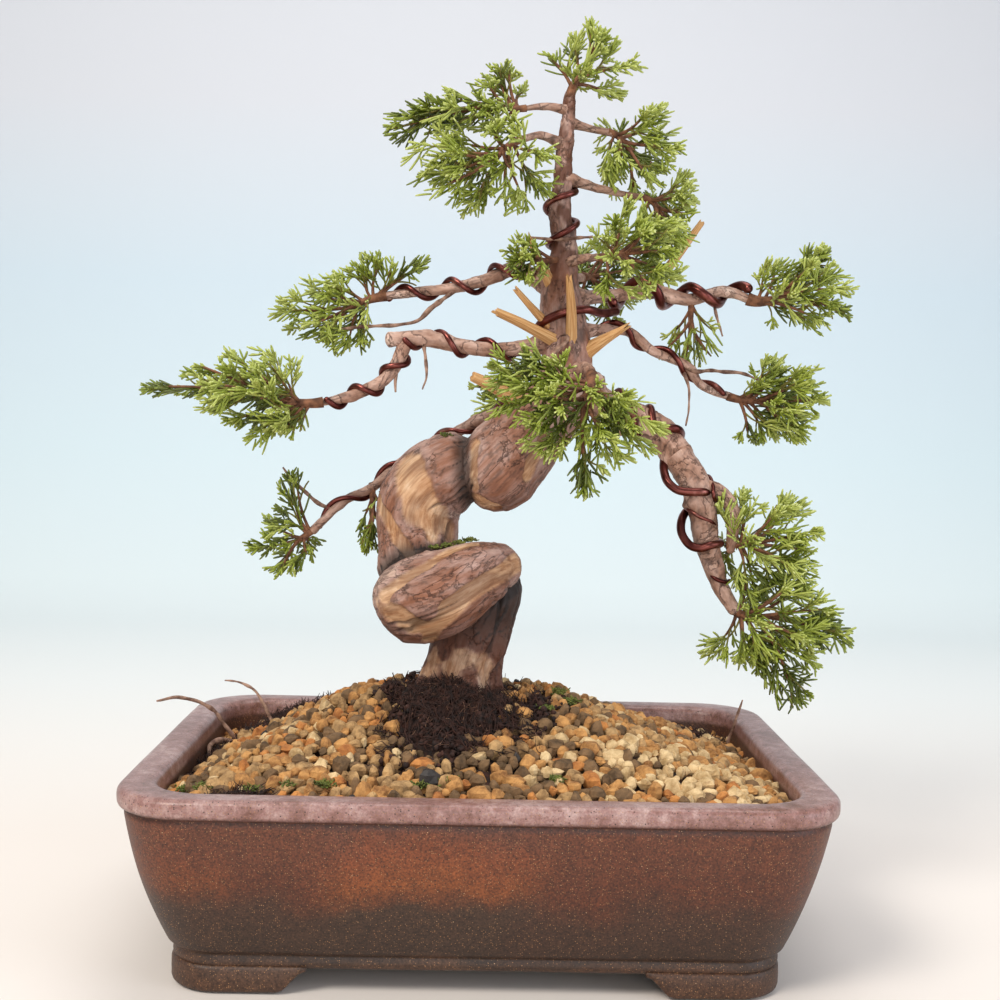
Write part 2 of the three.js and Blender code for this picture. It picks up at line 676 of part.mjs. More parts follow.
// What a mass's twigs reach for: its furthest tips, spots all over its edge, and some further in.
function twigTargets(mass) {
  const tips = (mass.tips ?? []).map((tip) => ({ target: vector(tip), fan: TIP_SPRAY_FAN }));
  const outer = evenTargets(mass, mass.twigs, 1);
  const inner = evenTargets(mass, Math.floor(mass.twigs * INNER_TWIGS), INNER_REACH);
  return [...tips, ...[...outer, ...inner].map((target) => ({ target, fan: SPRAY_FAN }))];
}

function tubeStations(curve, count, startRadius, endRadius) {
  return Array.from({ length: count + 1 }, (_, i) => {
    const { x, y, z } = curve.getPoint(i / count);
    return [x, y, z, THREE.MathUtils.lerp(startRadius, endRadius, i / count)];
  });
}

// Rim of a spray: pointed teeth with valleys between, fanned out in the plane of heading and side.
// A tooth is cut shorter, down to the valley, where it would leave the mass's space or touch a limb.
function sprayRim(name, root, heading, side, length, fan) {
  const inSpace = (point) => ownsPoint(name, point) && clearOfLimbs(point, length * SPRAY_THICKNESS);
  const spot = (angle, reach) => root.clone()
    .addScaledVector(heading, reach * Math.cos(angle))
    .addScaledVector(side, reach * Math.sin(angle));
  const rim = [];
  for (let k = 0; k < SPRAY_TEETH; k += 1) {
    const turn = (2 * k) / (SPRAY_TEETH - 1) - 1;
    const full = length * (1 - SIDE_TOOTH_CUT * Math.abs(turn));
    const tips = TOOTH_TRIMS.map((trim) => spot(fan * turn, full * trim));
    const tip = tips.find(inSpace) ?? spot(fan * turn, length * SPRAY_VALLEY);
    if (k > 0) {
      const between = fan * (turn - 1 / (SPRAY_TEETH - 1));
      rim.push(spot(between, Math.min(length * SPRAY_VALLEY, VALLEY_MOST * root.distanceTo(tip))));
    }
    rim.push(tip);
  }
  return rim.every(inSpace) ? rim : null;
}

// A four-sided twig that opens into a flat toothed spray of leaves, thickest at its heart.
function leafyTwig(curve, rim, heading, side, length) {
  const rings = tubeStations(curve, TWIG_RINGS, TWIG_RADIUS, TWIG_END_RADIUS).map(([x, y, z, radius], i) => {
    const onward = i === TWIG_RINGS ? heading : curve.getTangent(i / TWIG_RINGS);
    const across = side.clone().addScaledVector(onward, -side.dot(onward)).normalize();
    return ring({ middle: vector([x, y, z]), heading: onward, side: across }, radius, TWIG_SIDES);
  });
  const heart = curve.getPoint(1).addScaledVector(heading, length * SPRAY_HEART);
  const lift = heading.clone().cross(side).multiplyScalar((length * SPRAY_THICKNESS) / 2);
  const hearts = [heart.clone().add(lift), heart.clone().sub(lift)];
  const points = [...rings.flat(), ...rim, ...hearts, curve.getPoint(0)];
  const end = TWIG_SIDES * TWIG_RINGS;
  const rimStart = end + TWIG_SIDES;
  const top = rimStart + rim.length;
  const bottom = top + 1;
  const start = top + 2;
  const index = [];
  for (let k = 0; k < TWIG_SIDES; k += 1) {
    const next = (k + 1) % TWIG_SIDES;
    index.push(start, next, k);
    index.push(k < TWIG_SIDES / 2 ? top : bottom, end + k, end + next);
    for (let low = 0; low < end; low += TWIG_SIDES) {
      const high = low + TWIG_SIDES;
      index.push(low + k, low + next, high + next, low + k, high + next, high + k);
    }
  }
  const edge = [end + TWIG_SIDES / 2, ...rim.map((_, i) => rimStart + i), end];
  for (let i = 0; i < edge.length - 1; i += 1) {
    index.push(top, edge[i], edge[i + 1], bottom, edge[i + 1], edge[i]);
  }
  const geometry = new THREE.BufferGeometry().setFromPoints(points);
  geometry.setIndex(index);
  return geometry;
}

// Marks along a spray that keep other sprays of the mass from crossing it.
function sprayMarks(root, heading, length) {
  return SPRAY_MARKS.map((share) => root.clone().addScaledVector(heading, length * share));
}

function standsApart(marks, placed, gap) {
  return placed.every((other) => marks.every((mark) => mark.distanceTo(other) > gap));
}

// Stem of a mass as a curve, and its tube.
function massStem(mass) {
  const { start, heading, radius } = stemStart(mass);
  const straight = start.clone().addScaledVector(heading, STEM_STRAIGHT);
  const end = start.clone().lerp(vector(mass.centre), STEM_SHARE);
  const bend = straight.clone().addScaledVector(heading, straight.distanceTo(end) / 2);
  const curve = new THREE.QuadraticBezierCurve3(straight, bend, end);
  const first = [start.x, start.y, start.z, radius];
  const stations = [first, ...tubeStations(curve, STEM_RINGS, radius, TWIG_RADIUS)];
  return { curve, tube: limb(stations, STEM_SIDES, stations.length) };
}

// Twig from a share of the way along the stem towards a target, stopping a spray's length short of it.
function twigCurve(stem, share, target, length) {
  const from = stem.getPoint(share);
  const reach = Math.max(TWIG_SHORTEST, 1 - length / from.distanceTo(target));
  const to = from.clone().lerp(target, reach);
  const pull = from.clone()
    .lerp(to, TWIG_PULL)
    .addScaledVector(stem.getTangent(share), TWIG_BEND * from.distanceTo(to));
  return new THREE.QuadraticBezierCurve3(from, pull, to);
}

// The share of the stem's length at which each target's twig leaves it, in the order it passes them.
function twigRoots(stem, targets) {
  const start = stem.getPoint(0);
  const way = stem.getPoint(1).sub(start);
  const forward = targets.map(({ target }) => target.clone().sub(start).dot(way));
  return forward.map((distance) => {
    const passed = forward.filter((other) => other < distance).length;
    return THREE.MathUtils.lerp(FIRST_TWIG, LAST_TWIG, passed / (targets.length - 1));
  });
}

// One mass of foliage: a stem, and twigs that curve from it and open into sprays of leaves, most of
// them at the edge of the mass's space. Twigs that would leave the space or touch a limb are skipped.
function foliageSolid(name, seed) {
  const mass = FOLIAGE[name];
  const random = numberStream(seed);
  const stem = massStem(mass);
  const pieces = [stem.tube];
  const meanHalf = (mass.half[0] + mass.half[1] + mass.half[2]) / 3;
  const fullLength = THREE.MathUtils.clamp(meanHalf * SPRAY_LENGTH, SPRAY_SHORTEST, SPRAY_LONGEST);
  const inSpace = (point) => ownsPoint(name, point) && clearOfLimbs(point, TWIG_RADIUS);
  const placed = [];
  const targets = twigTargets(mass);
  const roots = twigRoots(stem.curve, targets);
  targets.forEach(({ target, fan }, i) => {
    const twig = twigCurve(stem.curve, roots[i], target, fullLength);
    const root = twig.getPoint(1);
    const length = root.distanceTo(target);
    const heading = target.clone().sub(root).normalize();
    const lean = new THREE.Vector3(random() - 0.5, random() - 0.5, random() - 0.5);
    const side = lean.cross(heading).normalize();
    const marks = sprayMarks(root, heading, length);
    const free = standsApart(marks, placed, SPRAY_SPACING * length);
    const fits = free && twig.getPoints(TWIG_SAMPLES).slice(1).every(inSpace);
    const rim = fits && sprayRim(name, root, heading, side, length, fan);
    if (rim) {
      pieces.push(leafyTwig(twig, rim, heading, side, length));
      placed.push(...marks);
    }
  });
  const whole = joined(pieces.map(toSolid));
  return mass.side ? whole.subtract(limbSpace(mass.side)) : whole;
}

// Assembly
const bonsai = new THREE.Group();

function place(name, geometry, look) {
  const mesh = new THREE.Mesh(geometry, material(look));
  mesh.name = name;
  bonsai.add(mesh);
}

place('pot', toGeometry(toSolid(potBody()).add(potFeet())), 'pot');
place('soil', toGeometry(soilSolid()), 'soil');
place('trunk', toGeometry(trunkSolid(0)), 'bark');

for (const name of Object.keys(BOUGHS)) {
  place(`bough_${name}`, toGeometry(boughSolid(name)), 'bough');
}
for (const [name, stations] of Object.entries(STUBS)) {
  const parent = limbSpace(STUB_ON_BOUGH[name] ?? 'trunk');
  const stub = toSolid(limb(stations, STUB_SIDES, stations.length)).subtract(parent);
  place(`deadwood_${name}`, toGeometry(stub), 'deadwood');
}
for (const [name, wire] of Object.entries(WIRES)) {
  const stations = wireStations(name === 'leader' ? LEADER : BOUGHS[name], wire);
  place(`wire_${name}`, limb(stations, WIRE_SIDES, stations.length), 'wire');
}
Object.keys(FOLIAGE).forEach((name, i) => {
  const look = name.startsWith('lower_left') ? 'foliage_dark' : 'foliage';
  place(`foliage_${name}`, toGeometry(foliageSolid(name, i + 1)), look);
});

// The bottom middle of the whole box becomes the origin.
const box = new THREE.Box3().setFromObject(bonsai);
const middle = box.getCenter(new THREE.Vector3());
bonsai.position.set(-middle.x, -middle.y, -box.min.z);

export default bonsai;
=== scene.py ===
"""Looks of a juniper bonsai in a stoneware pot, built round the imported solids.

Sizes are millimetres. Places are taken from the middle of the pot at table height, x to the right,
y to the back and z up, and become metres in the frame when a mesh is made.
"""

import bpy
import numpy as np
from mathutils import Matrix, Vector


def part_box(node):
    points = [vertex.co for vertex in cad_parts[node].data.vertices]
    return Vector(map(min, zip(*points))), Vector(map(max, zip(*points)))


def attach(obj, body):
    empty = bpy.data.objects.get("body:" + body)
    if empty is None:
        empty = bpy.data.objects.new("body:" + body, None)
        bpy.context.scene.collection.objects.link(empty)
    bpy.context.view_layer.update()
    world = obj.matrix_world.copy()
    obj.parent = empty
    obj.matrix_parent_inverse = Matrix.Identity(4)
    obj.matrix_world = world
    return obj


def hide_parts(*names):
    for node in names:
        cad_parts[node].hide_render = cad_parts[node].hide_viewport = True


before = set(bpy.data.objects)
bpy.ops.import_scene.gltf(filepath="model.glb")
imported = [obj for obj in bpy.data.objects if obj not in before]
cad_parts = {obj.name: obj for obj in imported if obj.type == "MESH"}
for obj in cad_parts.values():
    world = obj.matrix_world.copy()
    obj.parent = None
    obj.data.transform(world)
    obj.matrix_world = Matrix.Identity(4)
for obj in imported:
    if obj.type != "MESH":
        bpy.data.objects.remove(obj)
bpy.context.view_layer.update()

MM = 0.001
BODY = "root"
LIMB_STEPS = 600
pot_low, pot_high = (np.array(corner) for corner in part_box("pot"))
POT_MIDDLE = np.array([*(pot_low + pot_high)[:2] / 2, pot_low[2]])

# Camera: where it stands, its turns in degrees, and its focal length in pixels of a square image.
CAMERA_PLACE = (-3.9, -598.0, 217.7)
CAMERA_DOWN = 2.88
CAMERA_RIGHT = 1.0
CAMERA_ROLL = 1.29
FOCAL_PIXELS = 1367.1
IMAGE_PIXELS = 1000
SENSOR_WIDTH = 36.0

# Pot: outer size at the rim, wall, lip and feet.
POT_WIDTH = 280
POT_DEPTH = 205
POT_HEIGHT = 80
POT_CORNER = 29
CORNER_TIGHTENING = 0.45
LIP_WIDTH = 14
LIP_HEIGHT = 8
LIP_OVERHANG = 2.2
LIP_ROUND = 3.4
WALL_INSET = 21.5
WALL_BOW = 2.2
WALL_BOW_SHARE = 0.45
WALL_THICKNESS = 10
BASE_HEIGHT = 9.5
BELT_INSET = 19.8
BELT_TOP = 14
FOOT_WIDTH = 14
FOOT_LENGTH_X = 55
FOOT_LENGTH_Y = 46
FOOT_END = 11
FOOT_SIDES = 24
FOOT_SQUARENESS = 0.35

# Soil: a mound that rises from the walls to the foot of the trunk and lies low at the back right.
GROUND = 102
SOIL_EDGE = 60
SOIL_FRONT_RISE = 15
SOIL_RIGHT_RISE = 4
SOIL_STEEPENING = 1.15
SOIL_TOP_LENGTH = 88
SOIL_TOP_DEPTH = 52
SOIL_MIDDLE = (-11, 14)
SOIL_INSET = 12.5
SOIL_CORNER = 17
SOIL_SINK = 4.2
# Grains: two layers on a jittered grid, each grain a softened polyhedron.
GRAIN_SPACING = 5.2
GRAIN_JITTER = 1.6
GRAIN_SIZE = 5.5
GRAIN_SIZE_SPREAD = 0.25
GRAIN_LAYER_SINKS = (0.0, 4.0)
GRAIN_ROWS = 6
GRAIN_SIDES = 8
GRAIN_FACES = 8
GRAIN_SHARPNESS = 36
GRAIN_PUSHES = 6
# Chances that deal a grain to the pale and to the brown kind.
PALE_CHANCE = 0.96
BROWN_CHANCE = 0.85
# Share of the lower layer dealt brown: painted shade in the gaps between upper grains.
LOWER_SHADE_SHARE = 0.8
# Patches with more pale and more damp grains: middle x and y, reach in x and y, and the share dealt.
PALE_PATCH = (85, -55, 40, 35, 0.7)
DAMP_PATCH = (8, -58, 42, 32, 0.4)
# Patches of peat: middle x and y, reach in x and y, and how high it is heaped.
PEAT_PATCHES = [
    [-9, -10, 37, 44, 7], [-86, 52, 32, 12, 2], [-94, -79, 15, 6, 1], [-121, 12, 7, 34, 1],
    [108, 60, 12, 9, 1],
]
PEAT_SPOTS = 9000
PEAT_CRUMB_SIZES = (0.8, 2.6)
PEAT_FIBRES = 4300
ROOT_HAIRS = 300
THREAD_RINGS = 6
THREAD_SIDES = 4

# Trunk: lobes of a corkscrew, each a list of stations x, y, z and radius.
STEM = [
    [-13, 8, 90, 22], [-11, 8, 100, 18.5], [-8, 9, 114, 16], [-3, 10, 130, 15.5], [3, 9, 146, 14.5],
]
COIL = [[6, -2, 158, 10.5], [-5, -13, 155.5, 14.5], [-17, -17, 149.5, 18], [-28, -12, 146, 18.8]]
RISE = [
    [-29.5, -2, 153, 15.5], [-29.5, 7, 168, 16.8], [-29, 8, 184, 17.8], [-23, 6, 194, 17.3],
    [-14, 4, 200, 16.5],
]
LEADER = [
    [5, 0, 202, 19], [20, 0, 218, 15], [31, 2, 233, 12.5], [35, 3, 249, 10.5], [33, 3, 265, 9.5],
    [31, 2, 280, 8.2], [32, 1, 299, 5.6], [30, 0, 313, 5], [31, 0, 333, 4.2], [32, 0, 352, 3.4],
    [33, 0, 364, 2.4],
]
LOBES = {"stem": STEM, "coil": COIL, "rise": RISE, "leader": LEADER}

# Boughs: stations x, y, z and radius, from the trunk's middle to where each enters its foliage.
BOUGHS = {
    "lower_left": [
        [30, 4, 233, 3.6], [16, 20, 230, 3.3], [-2, 27, 223, 3.2], [-22, 30, 212, 3], [-40, 27, 201, 2.8],
        [-51, 21, 191, 2.5], [-63, 15, 185, 2.3], [-71, 9, 177, 2.1], [-76, 6, 172, 1.8],
    ],
    "left_middle_inner": [
        [33, 3, 262, 5.4], [23, 3, 256, 5.2], [5, 0, 253, 5], [-11, -4, 254, 4.8], [-30, -6, 257, 4.8],
        [-42, -7, 256, 4.4],
    ],
    "left_middle_outer": [
        [-35, -7, 256, 4.4], [-39, -8, 246, 4.2], [-44, -9, 239, 3.9], [-52, -10, 234, 3.5],
        [-63, -11, 230, 3], [-72, -12, 228, 2.4],
    ],
    "left_upper": [
        [31, 2, 280, 5.2], [24, 6, 283, 4.8], [12, 12, 290, 4.4], [-2, 16, 285, 4.4], [-18, 18, 281, 4],
        [-35, 20, 279, 3.4], [-48, 21, 277, 2.6],
    ],
    "apex_left_high": [[32, 0, 357, 2.4], [22, -2, 358, 2], [12, -4, 356, 1.7]],
    "apex_left_low": [[31, 0, 342, 2.7], [20, -8, 344, 2.1], [11, -12, 341, 1.8]],
    "apex_right_high": [[32, 0, 352, 2.6], [43, 4, 350, 2.1], [52, 6, 349, 1.8]],
    "apex_right_low": [[31, 0, 328, 3.2], [44, 4, 325, 2.6], [56, 7, 323, 2.2], [67, 9, 322, 1.8]],
    "front_right": [[32, 1, 291, 3], [42, -16, 292, 2.4], [47, -24, 291, 2]],
    "right_middle": [
        [32, 2, 276, 5.4], [55, 14, 279, 4.8], [74, 18, 282, 4.6], [90, 20, 279, 4.6], [106, 20, 283, 4.2],
        [118, 19, 279, 3.2],
    ],
    "right_lower": [
        [34, 3, 262, 3.8], [48, 6, 263, 3.3], [62, 10, 263, 3.1], [73, 12, 255, 3], [88, 13, 249, 2.9],
        [96, 13, 240, 2.6], [109, 12, 235, 2.1],
    ],
    "cascade_inner": [
        [33, 3, 243, 7], [46, 11, 234, 6.6], [60, 14, 228, 6.4], [77, 10, 219, 6.4], [84, 7, 209, 6.4],
    ],
    "cascade_outer": [
        [84.2, 6.9, 208.7, 6.4], [91, 4, 199, 6.2], [95, 2, 188, 5.8], [98, 0, 170, 4.8],
        [104, -2, 152, 3.4], [110, -4, 142, 2.6],
    ],
    "front": [[35, 2, 243, 4.4], [41, -12, 245, 3.6], [43, -22, 244, 3.2], [43, -29, 241, 2.8]],
    "back_upper": [[32, 2, 284, 3.6], [38, 18, 287, 2.8], [43, 31, 289, 2.2]],
    "back_lower": [[34, 3, 252, 4.2], [31, 18, 247, 3.4], [27, 33, 241, 2.6]],
}

# Deadwood: stripped stubs, from inside the limb that they stand on to their broken or cut end.
STUBS = {
    "high_left": [[28, 0, 279, 2.6], [21, -8, 291, 2.1], [15, -14, 302, 1.6]],
    "mid_left": [[30, 0, 260, 2.4], [19, -8, 270, 2], [10, -14, 279, 1.6]],
    "low_left": [[30, -3, 257, 2.8], [14, -11, 264, 2.5], [1, -16, 269, 2.3]],
    "front": [[36, -2, 252, 2.8], [35, -11, 270, 2.2], [33, -17, 286, 1.6]],
    "right": [[38, 0, 250, 4], [50, -5, 258, 2.8], [61, -10, 265, 1.4]],
    "cut_left": [[20, -2, 226, 3.6], [4, -9, 236, 3.2], [-7, -12, 241, 3]],
    "far_right": [[72, 18, 282, 2.8], [84, 22, 298, 2.4], [96, 26, 315, 2.2]],
}
SPLINTERS = {
    "high_left": 5, "mid_left": 6, "low_left": 6, "front": 6, "right": 5, "cut_left": 1, "far_right": 2,
}

# Training wire on the limb that it winds round: the stations where it starts and ends, its turns, its
# radius, the share of a turn where it starts, and how far its loops stand off, as a share of their reach.
WIRES = {
    "leader": [5.9, 7.7, 2, 1.4, 1 / 12, 0.05],
    "lower_left": [1.2, 7.4, 3.5, 1.1, 7 / 12, 0.1],
    "left_middle_inner": [1.6, 4.5, 2.4, 1.3, 1 / 12, 0.1],
    "left_middle_outer": [0.6, 4.6, 2.4, 1.3, 1 / 12, 0.1],
    "left_upper": [1.7, 5.8, 3, 1.3, 1 / 12, 0.15],
    "right_middle": [0.9, 4.7, 2.7, 2.3, 7 / 12, 0.15],
    "right_lower": [1.2, 5.7, 2.4, 1.3, 1 / 12, 0.12],
}
THICK_WIRE = 1.9
THIN_WIRE = 0.9
WIRE_SIDES = 12
WIRE_STEPS = 12
HELIX_STEPS = 50
# Loose loops of wire on the cascade, by the places that they pass.
CASCADE_WIRE_INNER = [
    [56, 20.5, 231], [59, 15.5, 236.5], [63, 6.5, 230], [66, 8, 219], [69.5, 18, 217.5], [71, 17, 227],
    [72.5, 10, 229.4], [74.5, 3, 220.1], [79.6, 1.5, 220.7], [83.8, 3, 220.4], [86.5, 9, 218.2],
    [85.8, 16, 215], [81.7, 15, 210.9], [79.2, 9, 207.4],
]
CASCADE_WIRE_OUTER = [
    [79.2, 9, 207.4], [78.5, 3, 202.2], [79.8, -2, 197.1], [83.9, -4, 193.8], [89.9, -4.2, 193.1],
    [95.5, -3.2, 193.1], [98.8, 3, 191.2], [98.2, 9, 187.7], [93.4, 9, 185.8], [88.7, 5, 183.3],
    [86.3, 0, 178.7], [86.5, -2.5, 174.5], [89.8, -4.5, 169.9], [94, -5.8, 168.8], [98.5, -6, 170.1],
    [103.4, -2, 170.7], [103.2, 3, 171.2],
]
CASCADE_WIRE_THIN = [
    [95.7, 9, 198.8], [98.6, 6, 199.9], [99.6, -1.6, 195.8], [99.6, -4, 191.6], [101.6, 1, 188.2],
    [98.7, 7.5, 185.5], [91.3, 6.8, 186.3], [88.8, 2, 185.7], [90.5, -2.4, 184.3], [94, -4.2, 182.3],
    [99, -4, 180.2], [101.8, 0, 177.3], [101.5, 4, 174.4],
]
CASCADE_WIRE_LOW = [
    [98.9, 3, 160], [98.9, -2, 158], [101.3, -5.6, 155.5], [105.3, -5.4, 154.2], [108, -2, 154.4],
]
# Wire that crosses the front of the trunk on to the right middle bough.
TRUNK_WRAP = [
    [21, 4, 261], [22.5, -4, 264.6], [30, -8.4, 268.4], [41, -7.6, 270.8], [49, 0, 270], [56, 8, 271.5],
]
# Side branch of the cascade that carries its upper mass.
CASCADE_SIDE = [
    [95, 2, 196, 3.4], [101.9, 1, 193.5, 3.3], [106.2, 0, 189.7, 3.2], [108.9, -1, 182.3, 2.9],
    [108.5, -2, 174.5, 2.3], [108, -2, 168, 1.8],
]

# Foliage: each mass has a centre and half sizes. It may have a tilt in degrees, rising to the right, and
# furthest tips. Its stem goes on from the tip of its bough, or starts at its root on a limb, or else goes
# on from the leader. A dark mass lies in shade, and its greens are painted darker by that much; a long one
# has longer fronds.
FOLIAGE = {
    "lower_left": {
        "bough": "lower_left", "centre": [-85, 4, 166], "half": [18, 16, 16], "tips": [[-82, 6, 199]],
        "dark": 0.9,
    },
    "lower_left_sprig": {
        "root": [-51, 21, 191], "centre": [-50, 15, 176], "half": [9, 10, 14], "dark": 0.9,
    },
    "left_middle": {
        "bough": "left_middle_outer", "centre": [-97, -14, 232], "half": [36, 26, 19], "tilt": -10,
        "tips": [[-148, -14, 234], [-72, -14, 217]],
    },
    "left_upper": {
        "bough": "left_upper", "centre": [-66, 20, 270], "half": [25, 22, 17], "tilt": 8,
        "tips": [[-26, 18, 293], [-46, 18, 295]],
    },
    "apex_left_high": {
        "bough": "apex_left_high", "centre": [-2, -6, 357], "half": [38, 22, 13], "tilt": 15,
        "tips": [[-47, -8, 344], [9, -6, 374]],
    },
    "apex_left_low": {"bough": "apex_left_low", "centre": [-1, -18, 330], "half": [34, 27, 20]},
    "apex": {"centre": [41, 0, 376], "half": [19, 21, 16], "tips": [[41, 0, 393]]},
    "apex_right_high": {"bough": "apex_right_high", "centre": [61, 8, 342], "half": [21, 26, 20]},
    "apex_right_low": {"bough": "apex_right_low", "centre": [77, 10, 314], "half": [15, 26, 22]},
    "front_right": {"bough": "front_right", "centre": [59, -36, 292], "half": [22, 20, 20]},
    "front_left_sprig": {"root": [32, 1, 293], "centre": [14, -25, 288], "half": [12, 13, 13]},
    "right_middle": {
        "bough": "right_middle", "centre": [138, 18, 284], "half": [22, 22, 18],
        "tips": [[149, 18, 305], [163, 18, 272]],
    },
    "right_hanging": {"root": [91, 20, 279], "centre": [91, 20, 261], "half": [14, 15, 14], "long": 1.5},
    "right_lower": {
        "bough": "right_lower", "centre": [130, 12, 234], "half": [20, 24, 19],
        "tips": [[112, 12, 216], [120, 14, 249]],
    },
    "cascade_upper": {"root": [108, -2, 170], "centre": [122, 0, 171], "half": [27, 25, 28]},
    "cascade_lower": {
        "bough": "cascade_outer", "centre": [126, -4, 139], "half": [31, 25, 25],
        "tips": [[139, -6, 97], [164, -4, 130], [119, -4, 112], [101, -2, 128]],
    },
    "front": {
        "bough": "front", "centre": [37, -46, 228], "half": [37, 24, 20], "tilt": -18,
        "tips": [[41, -46, 191], [1, -40, 251]],
    },
    "back_upper": {"bough": "back_upper", "centre": [52, 56, 292], "half": [26, 24, 24]},
    "back_lower": {"bough": "back_lower", "centre": [18, 56, 230], "half": [34, 24, 26]},
}
GOLDEN_ANGLE = np.pi * (3 - 5**0.5)
TIP_REACH = 10
STEM_SHARE = 0.75
SPRIG_RADIUS = 1.7

# First seed of each kind of random draw.
GRAIN_SEED = 12
PEAT_SEED = 31
CASCADE_SIDE_SEED = 59
BOUGH_SEED = 60
MOSS_SEED = 77
STUB_SEED = 90
WIRE_SEED = 120
GRAIN_SHAPE_SEED = 200
KNOT_SEED = 300
STRAY_SEED = 320
FOLIAGE_SEED = 400


# Numbers and curves


def unit(vectors):
    """Vectors of length one along the given ones."""
    return vectors / np.maximum(np.linalg.norm(vectors, axis=-1, keepdims=True), 1e-9)


def eased(low, high, values):
    """0 below low, 1 above high, and the smooth cubic step between them."""
    share = np.clip((values - low) / (high - low), 0, 1)
    return share * share * (3 - 2 * share)


def mixed_bits(numbers):
    """Scrambles whole numbers to even ones from 0 up to 1, by shifts and odd multipliers."""
    bits = numbers & 0xFFFFFFFF
    bits = ((bits ^ (bits >> 15)) * 2246822519) & 0xFFFFFFFF
    bits = ((bits ^ (bits >> 13)) * 3266489917) & 0xFFFFFFFF
    return (bits ^ (bits >> 16)) / 2**32


def smooth_noise(places, seed):
    """Random height from -1 to 1: one number for each whole-number corner of space, eased between corners."""
    low = np.floor(places).astype(np.int64)
    share = places - low
    ease = share * share * (3 - 2 * share)
    total = np.zeros(places.shape[:-1])
    for corner in np.ndindex(2, 2, 2):
        number = ((low + corner) * [73856093, 19349663, 83492791]).sum(-1) + seed * 7919
        weight = np.where(np.array(corner, bool), ease, 1 - ease).prod(-1)
        total += weight * (2 * mixed_bits(number) - 1)
    return total


def line_noise(values, seed, lane=0):
    """Smooth noise along a line of values, in one of several lanes side by side."""
    return smooth_noise(np.stack([values, 0 * values + lane, 0 * values], 1), seed)


def layered_noise(places, seed, layers):
    """Noise with finer noise added, each layer half as wide and half as strong as the one before."""
    return sum(smooth_noise(places * 2**k, seed + k) / 2**k for k in range(layers))


def along_limb(stations, shares):
    """Places at shares of a limb, on a centripetal curve through its stations, and radii step by step."""
    stations = np.asarray(stations, float)
    spots = stations[:, :3]
    padded = np.vstack([2 * spots[0] - spots[1], spots, 2 * spots[-1] - spots[-2]])
    station = np.clip(shares, 0, 1) * (len(spots) - 1)
    low = np.minimum(station.astype(int), len(spots) - 2)
    t = (station - low)[:, None]
    before, start, end, after = (padded[low + k] for k in range(4))
    lead, span, trail = (
        np.linalg.norm(b - a, axis=1, keepdims=True) ** 0.5
        for a, b in ((before, start), (start, end), (end, after))
    )
    leave = (start - before) / lead - (end - before) / (lead + span) + (end - start) / span
    arrive = (end - start) / span - (after - start) / (span + trail) + (after - end) / trail
    rise = 3 * t**2 - 2 * t**3
    places = (1 - rise) * start + rise * end
    places += span * ((t**3 - 2 * t**2 + t) * leave + (t**3 - t**2) * arrive)
    radii = np.interp(station, np.arange(len(spots)), stations[:, 3])
    return places, radii


def lengths_along(places):
    """Length along a path up to each of its places: the sum of the steps before it."""
    return np.concatenate([[0], np.cumsum(np.linalg.norm(np.diff(places, axis=0), axis=1))])


def sample_limb(stations, spacing):
    """Places, radii and arc lengths at even spacing along a limb."""
    dense = np.linspace(0, 1, LIMB_STEPS)
    places, _ = along_limb(stations, dense)
    length = lengths_along(places)
    arc = np.linspace(0, length[-1], max(int(length[-1] / spacing), 4) + 1)
    places, radii = along_limb(stations, np.interp(arc, length, dense))
    return places, radii, arc


def limb_samples(limbs, spacing):
    """Places and radii at even spacing along each of several limbs, one after another."""
    samples = [sample_limb(stations, spacing)[:2] for stations in limbs]
    return tuple(np.concatenate(parts) for parts in zip(*samples))


def untwisted(places):
    """Heading, side and across directions along a path, its sides carried on without twist."""
    heading = unit(np.gradient(places, axis=0))
    side = np.empty_like(heading)
    guide = np.array([0.3, 1, 0.2])
    for step, way in enumerate(heading):
        guide = unit(guide - way * guide.dot(way))
        side[step] = guide
    return heading, side, np.cross(heading, side)


def bezier(start, pull, end, t):
    """Places at shares t of quadratic curves that go from start to end and are drawn towards pull."""
    return (1 - t) ** 2 * start + 2 * t * (1 - t) * pull + t**2 * end


# Meshes from arrays


def round_angles(sides):
    """Angles evenly spaced round a circle."""
    return 2 * np.pi * np.arange(sides) / sides


def ring_directions(side, across, sides):
    """Directions round a path from its side, evenly spaced: (..., sides, 3)."""
    angle = round_angles(sides)
    return side[..., None, :] * np.cos(angle)[:, None] + across[..., None, :] * np.sin(angle)[:, None]


def many_tubes(paths, radii, sides):
    """Corners of many round tubes: on each path (tubes, rings, 3) a circle of sides corners per ring."""
    heading = unit(np.gradient(paths, axis=1))
    overall = unit(paths[:, -1] - paths[:, 0])
    upright = np.abs(overall[:, 2:]) > 0.8
    guide = np.where(upright, [1.0, 0.2, 0], [0.1, 0.2, 1.0])[:, None, :]
    side = unit(np.cross(heading, guide))
    ring = ring_directions(side, np.cross(heading, side), sides)
    return paths[:, :, None, :] + radii[:, :, None, None] * ring


def tube_faces(rings, sides, tubes=1):
    """Faces of closed tubes: four-cornered walls between neighbouring rings and one flat face at each end."""
    ring, side = np.meshgrid(np.arange(rings - 1), np.arange(sides), indexing="ij")
    low = ring * sides
    after = (side + 1) % sides
    wall = np.stack([low + side, low + after, low + sides + after, low + sides + side], -1).reshape(-1, 4)
    ends = np.stack([np.arange(sides)[::-1], (rings - 1) * sides + np.arange(sides)])
    first = (np.arange(tubes) * rings * sides)[:, None, None]
    return (wall + first).reshape(-1, 4), (ends + first).reshape(-1, sides)


def joined(parts):
    """One array of corners and one list of faces from several pairs of them."""
    points, faces, count = [], [], 0
    for corners, blocks in parts:
        corners = corners.reshape(-1, 3)
        points.append(corners)
        faces.extend(block + count for block in blocks)
        count += len(corners)
    return np.concatenate(points), faces


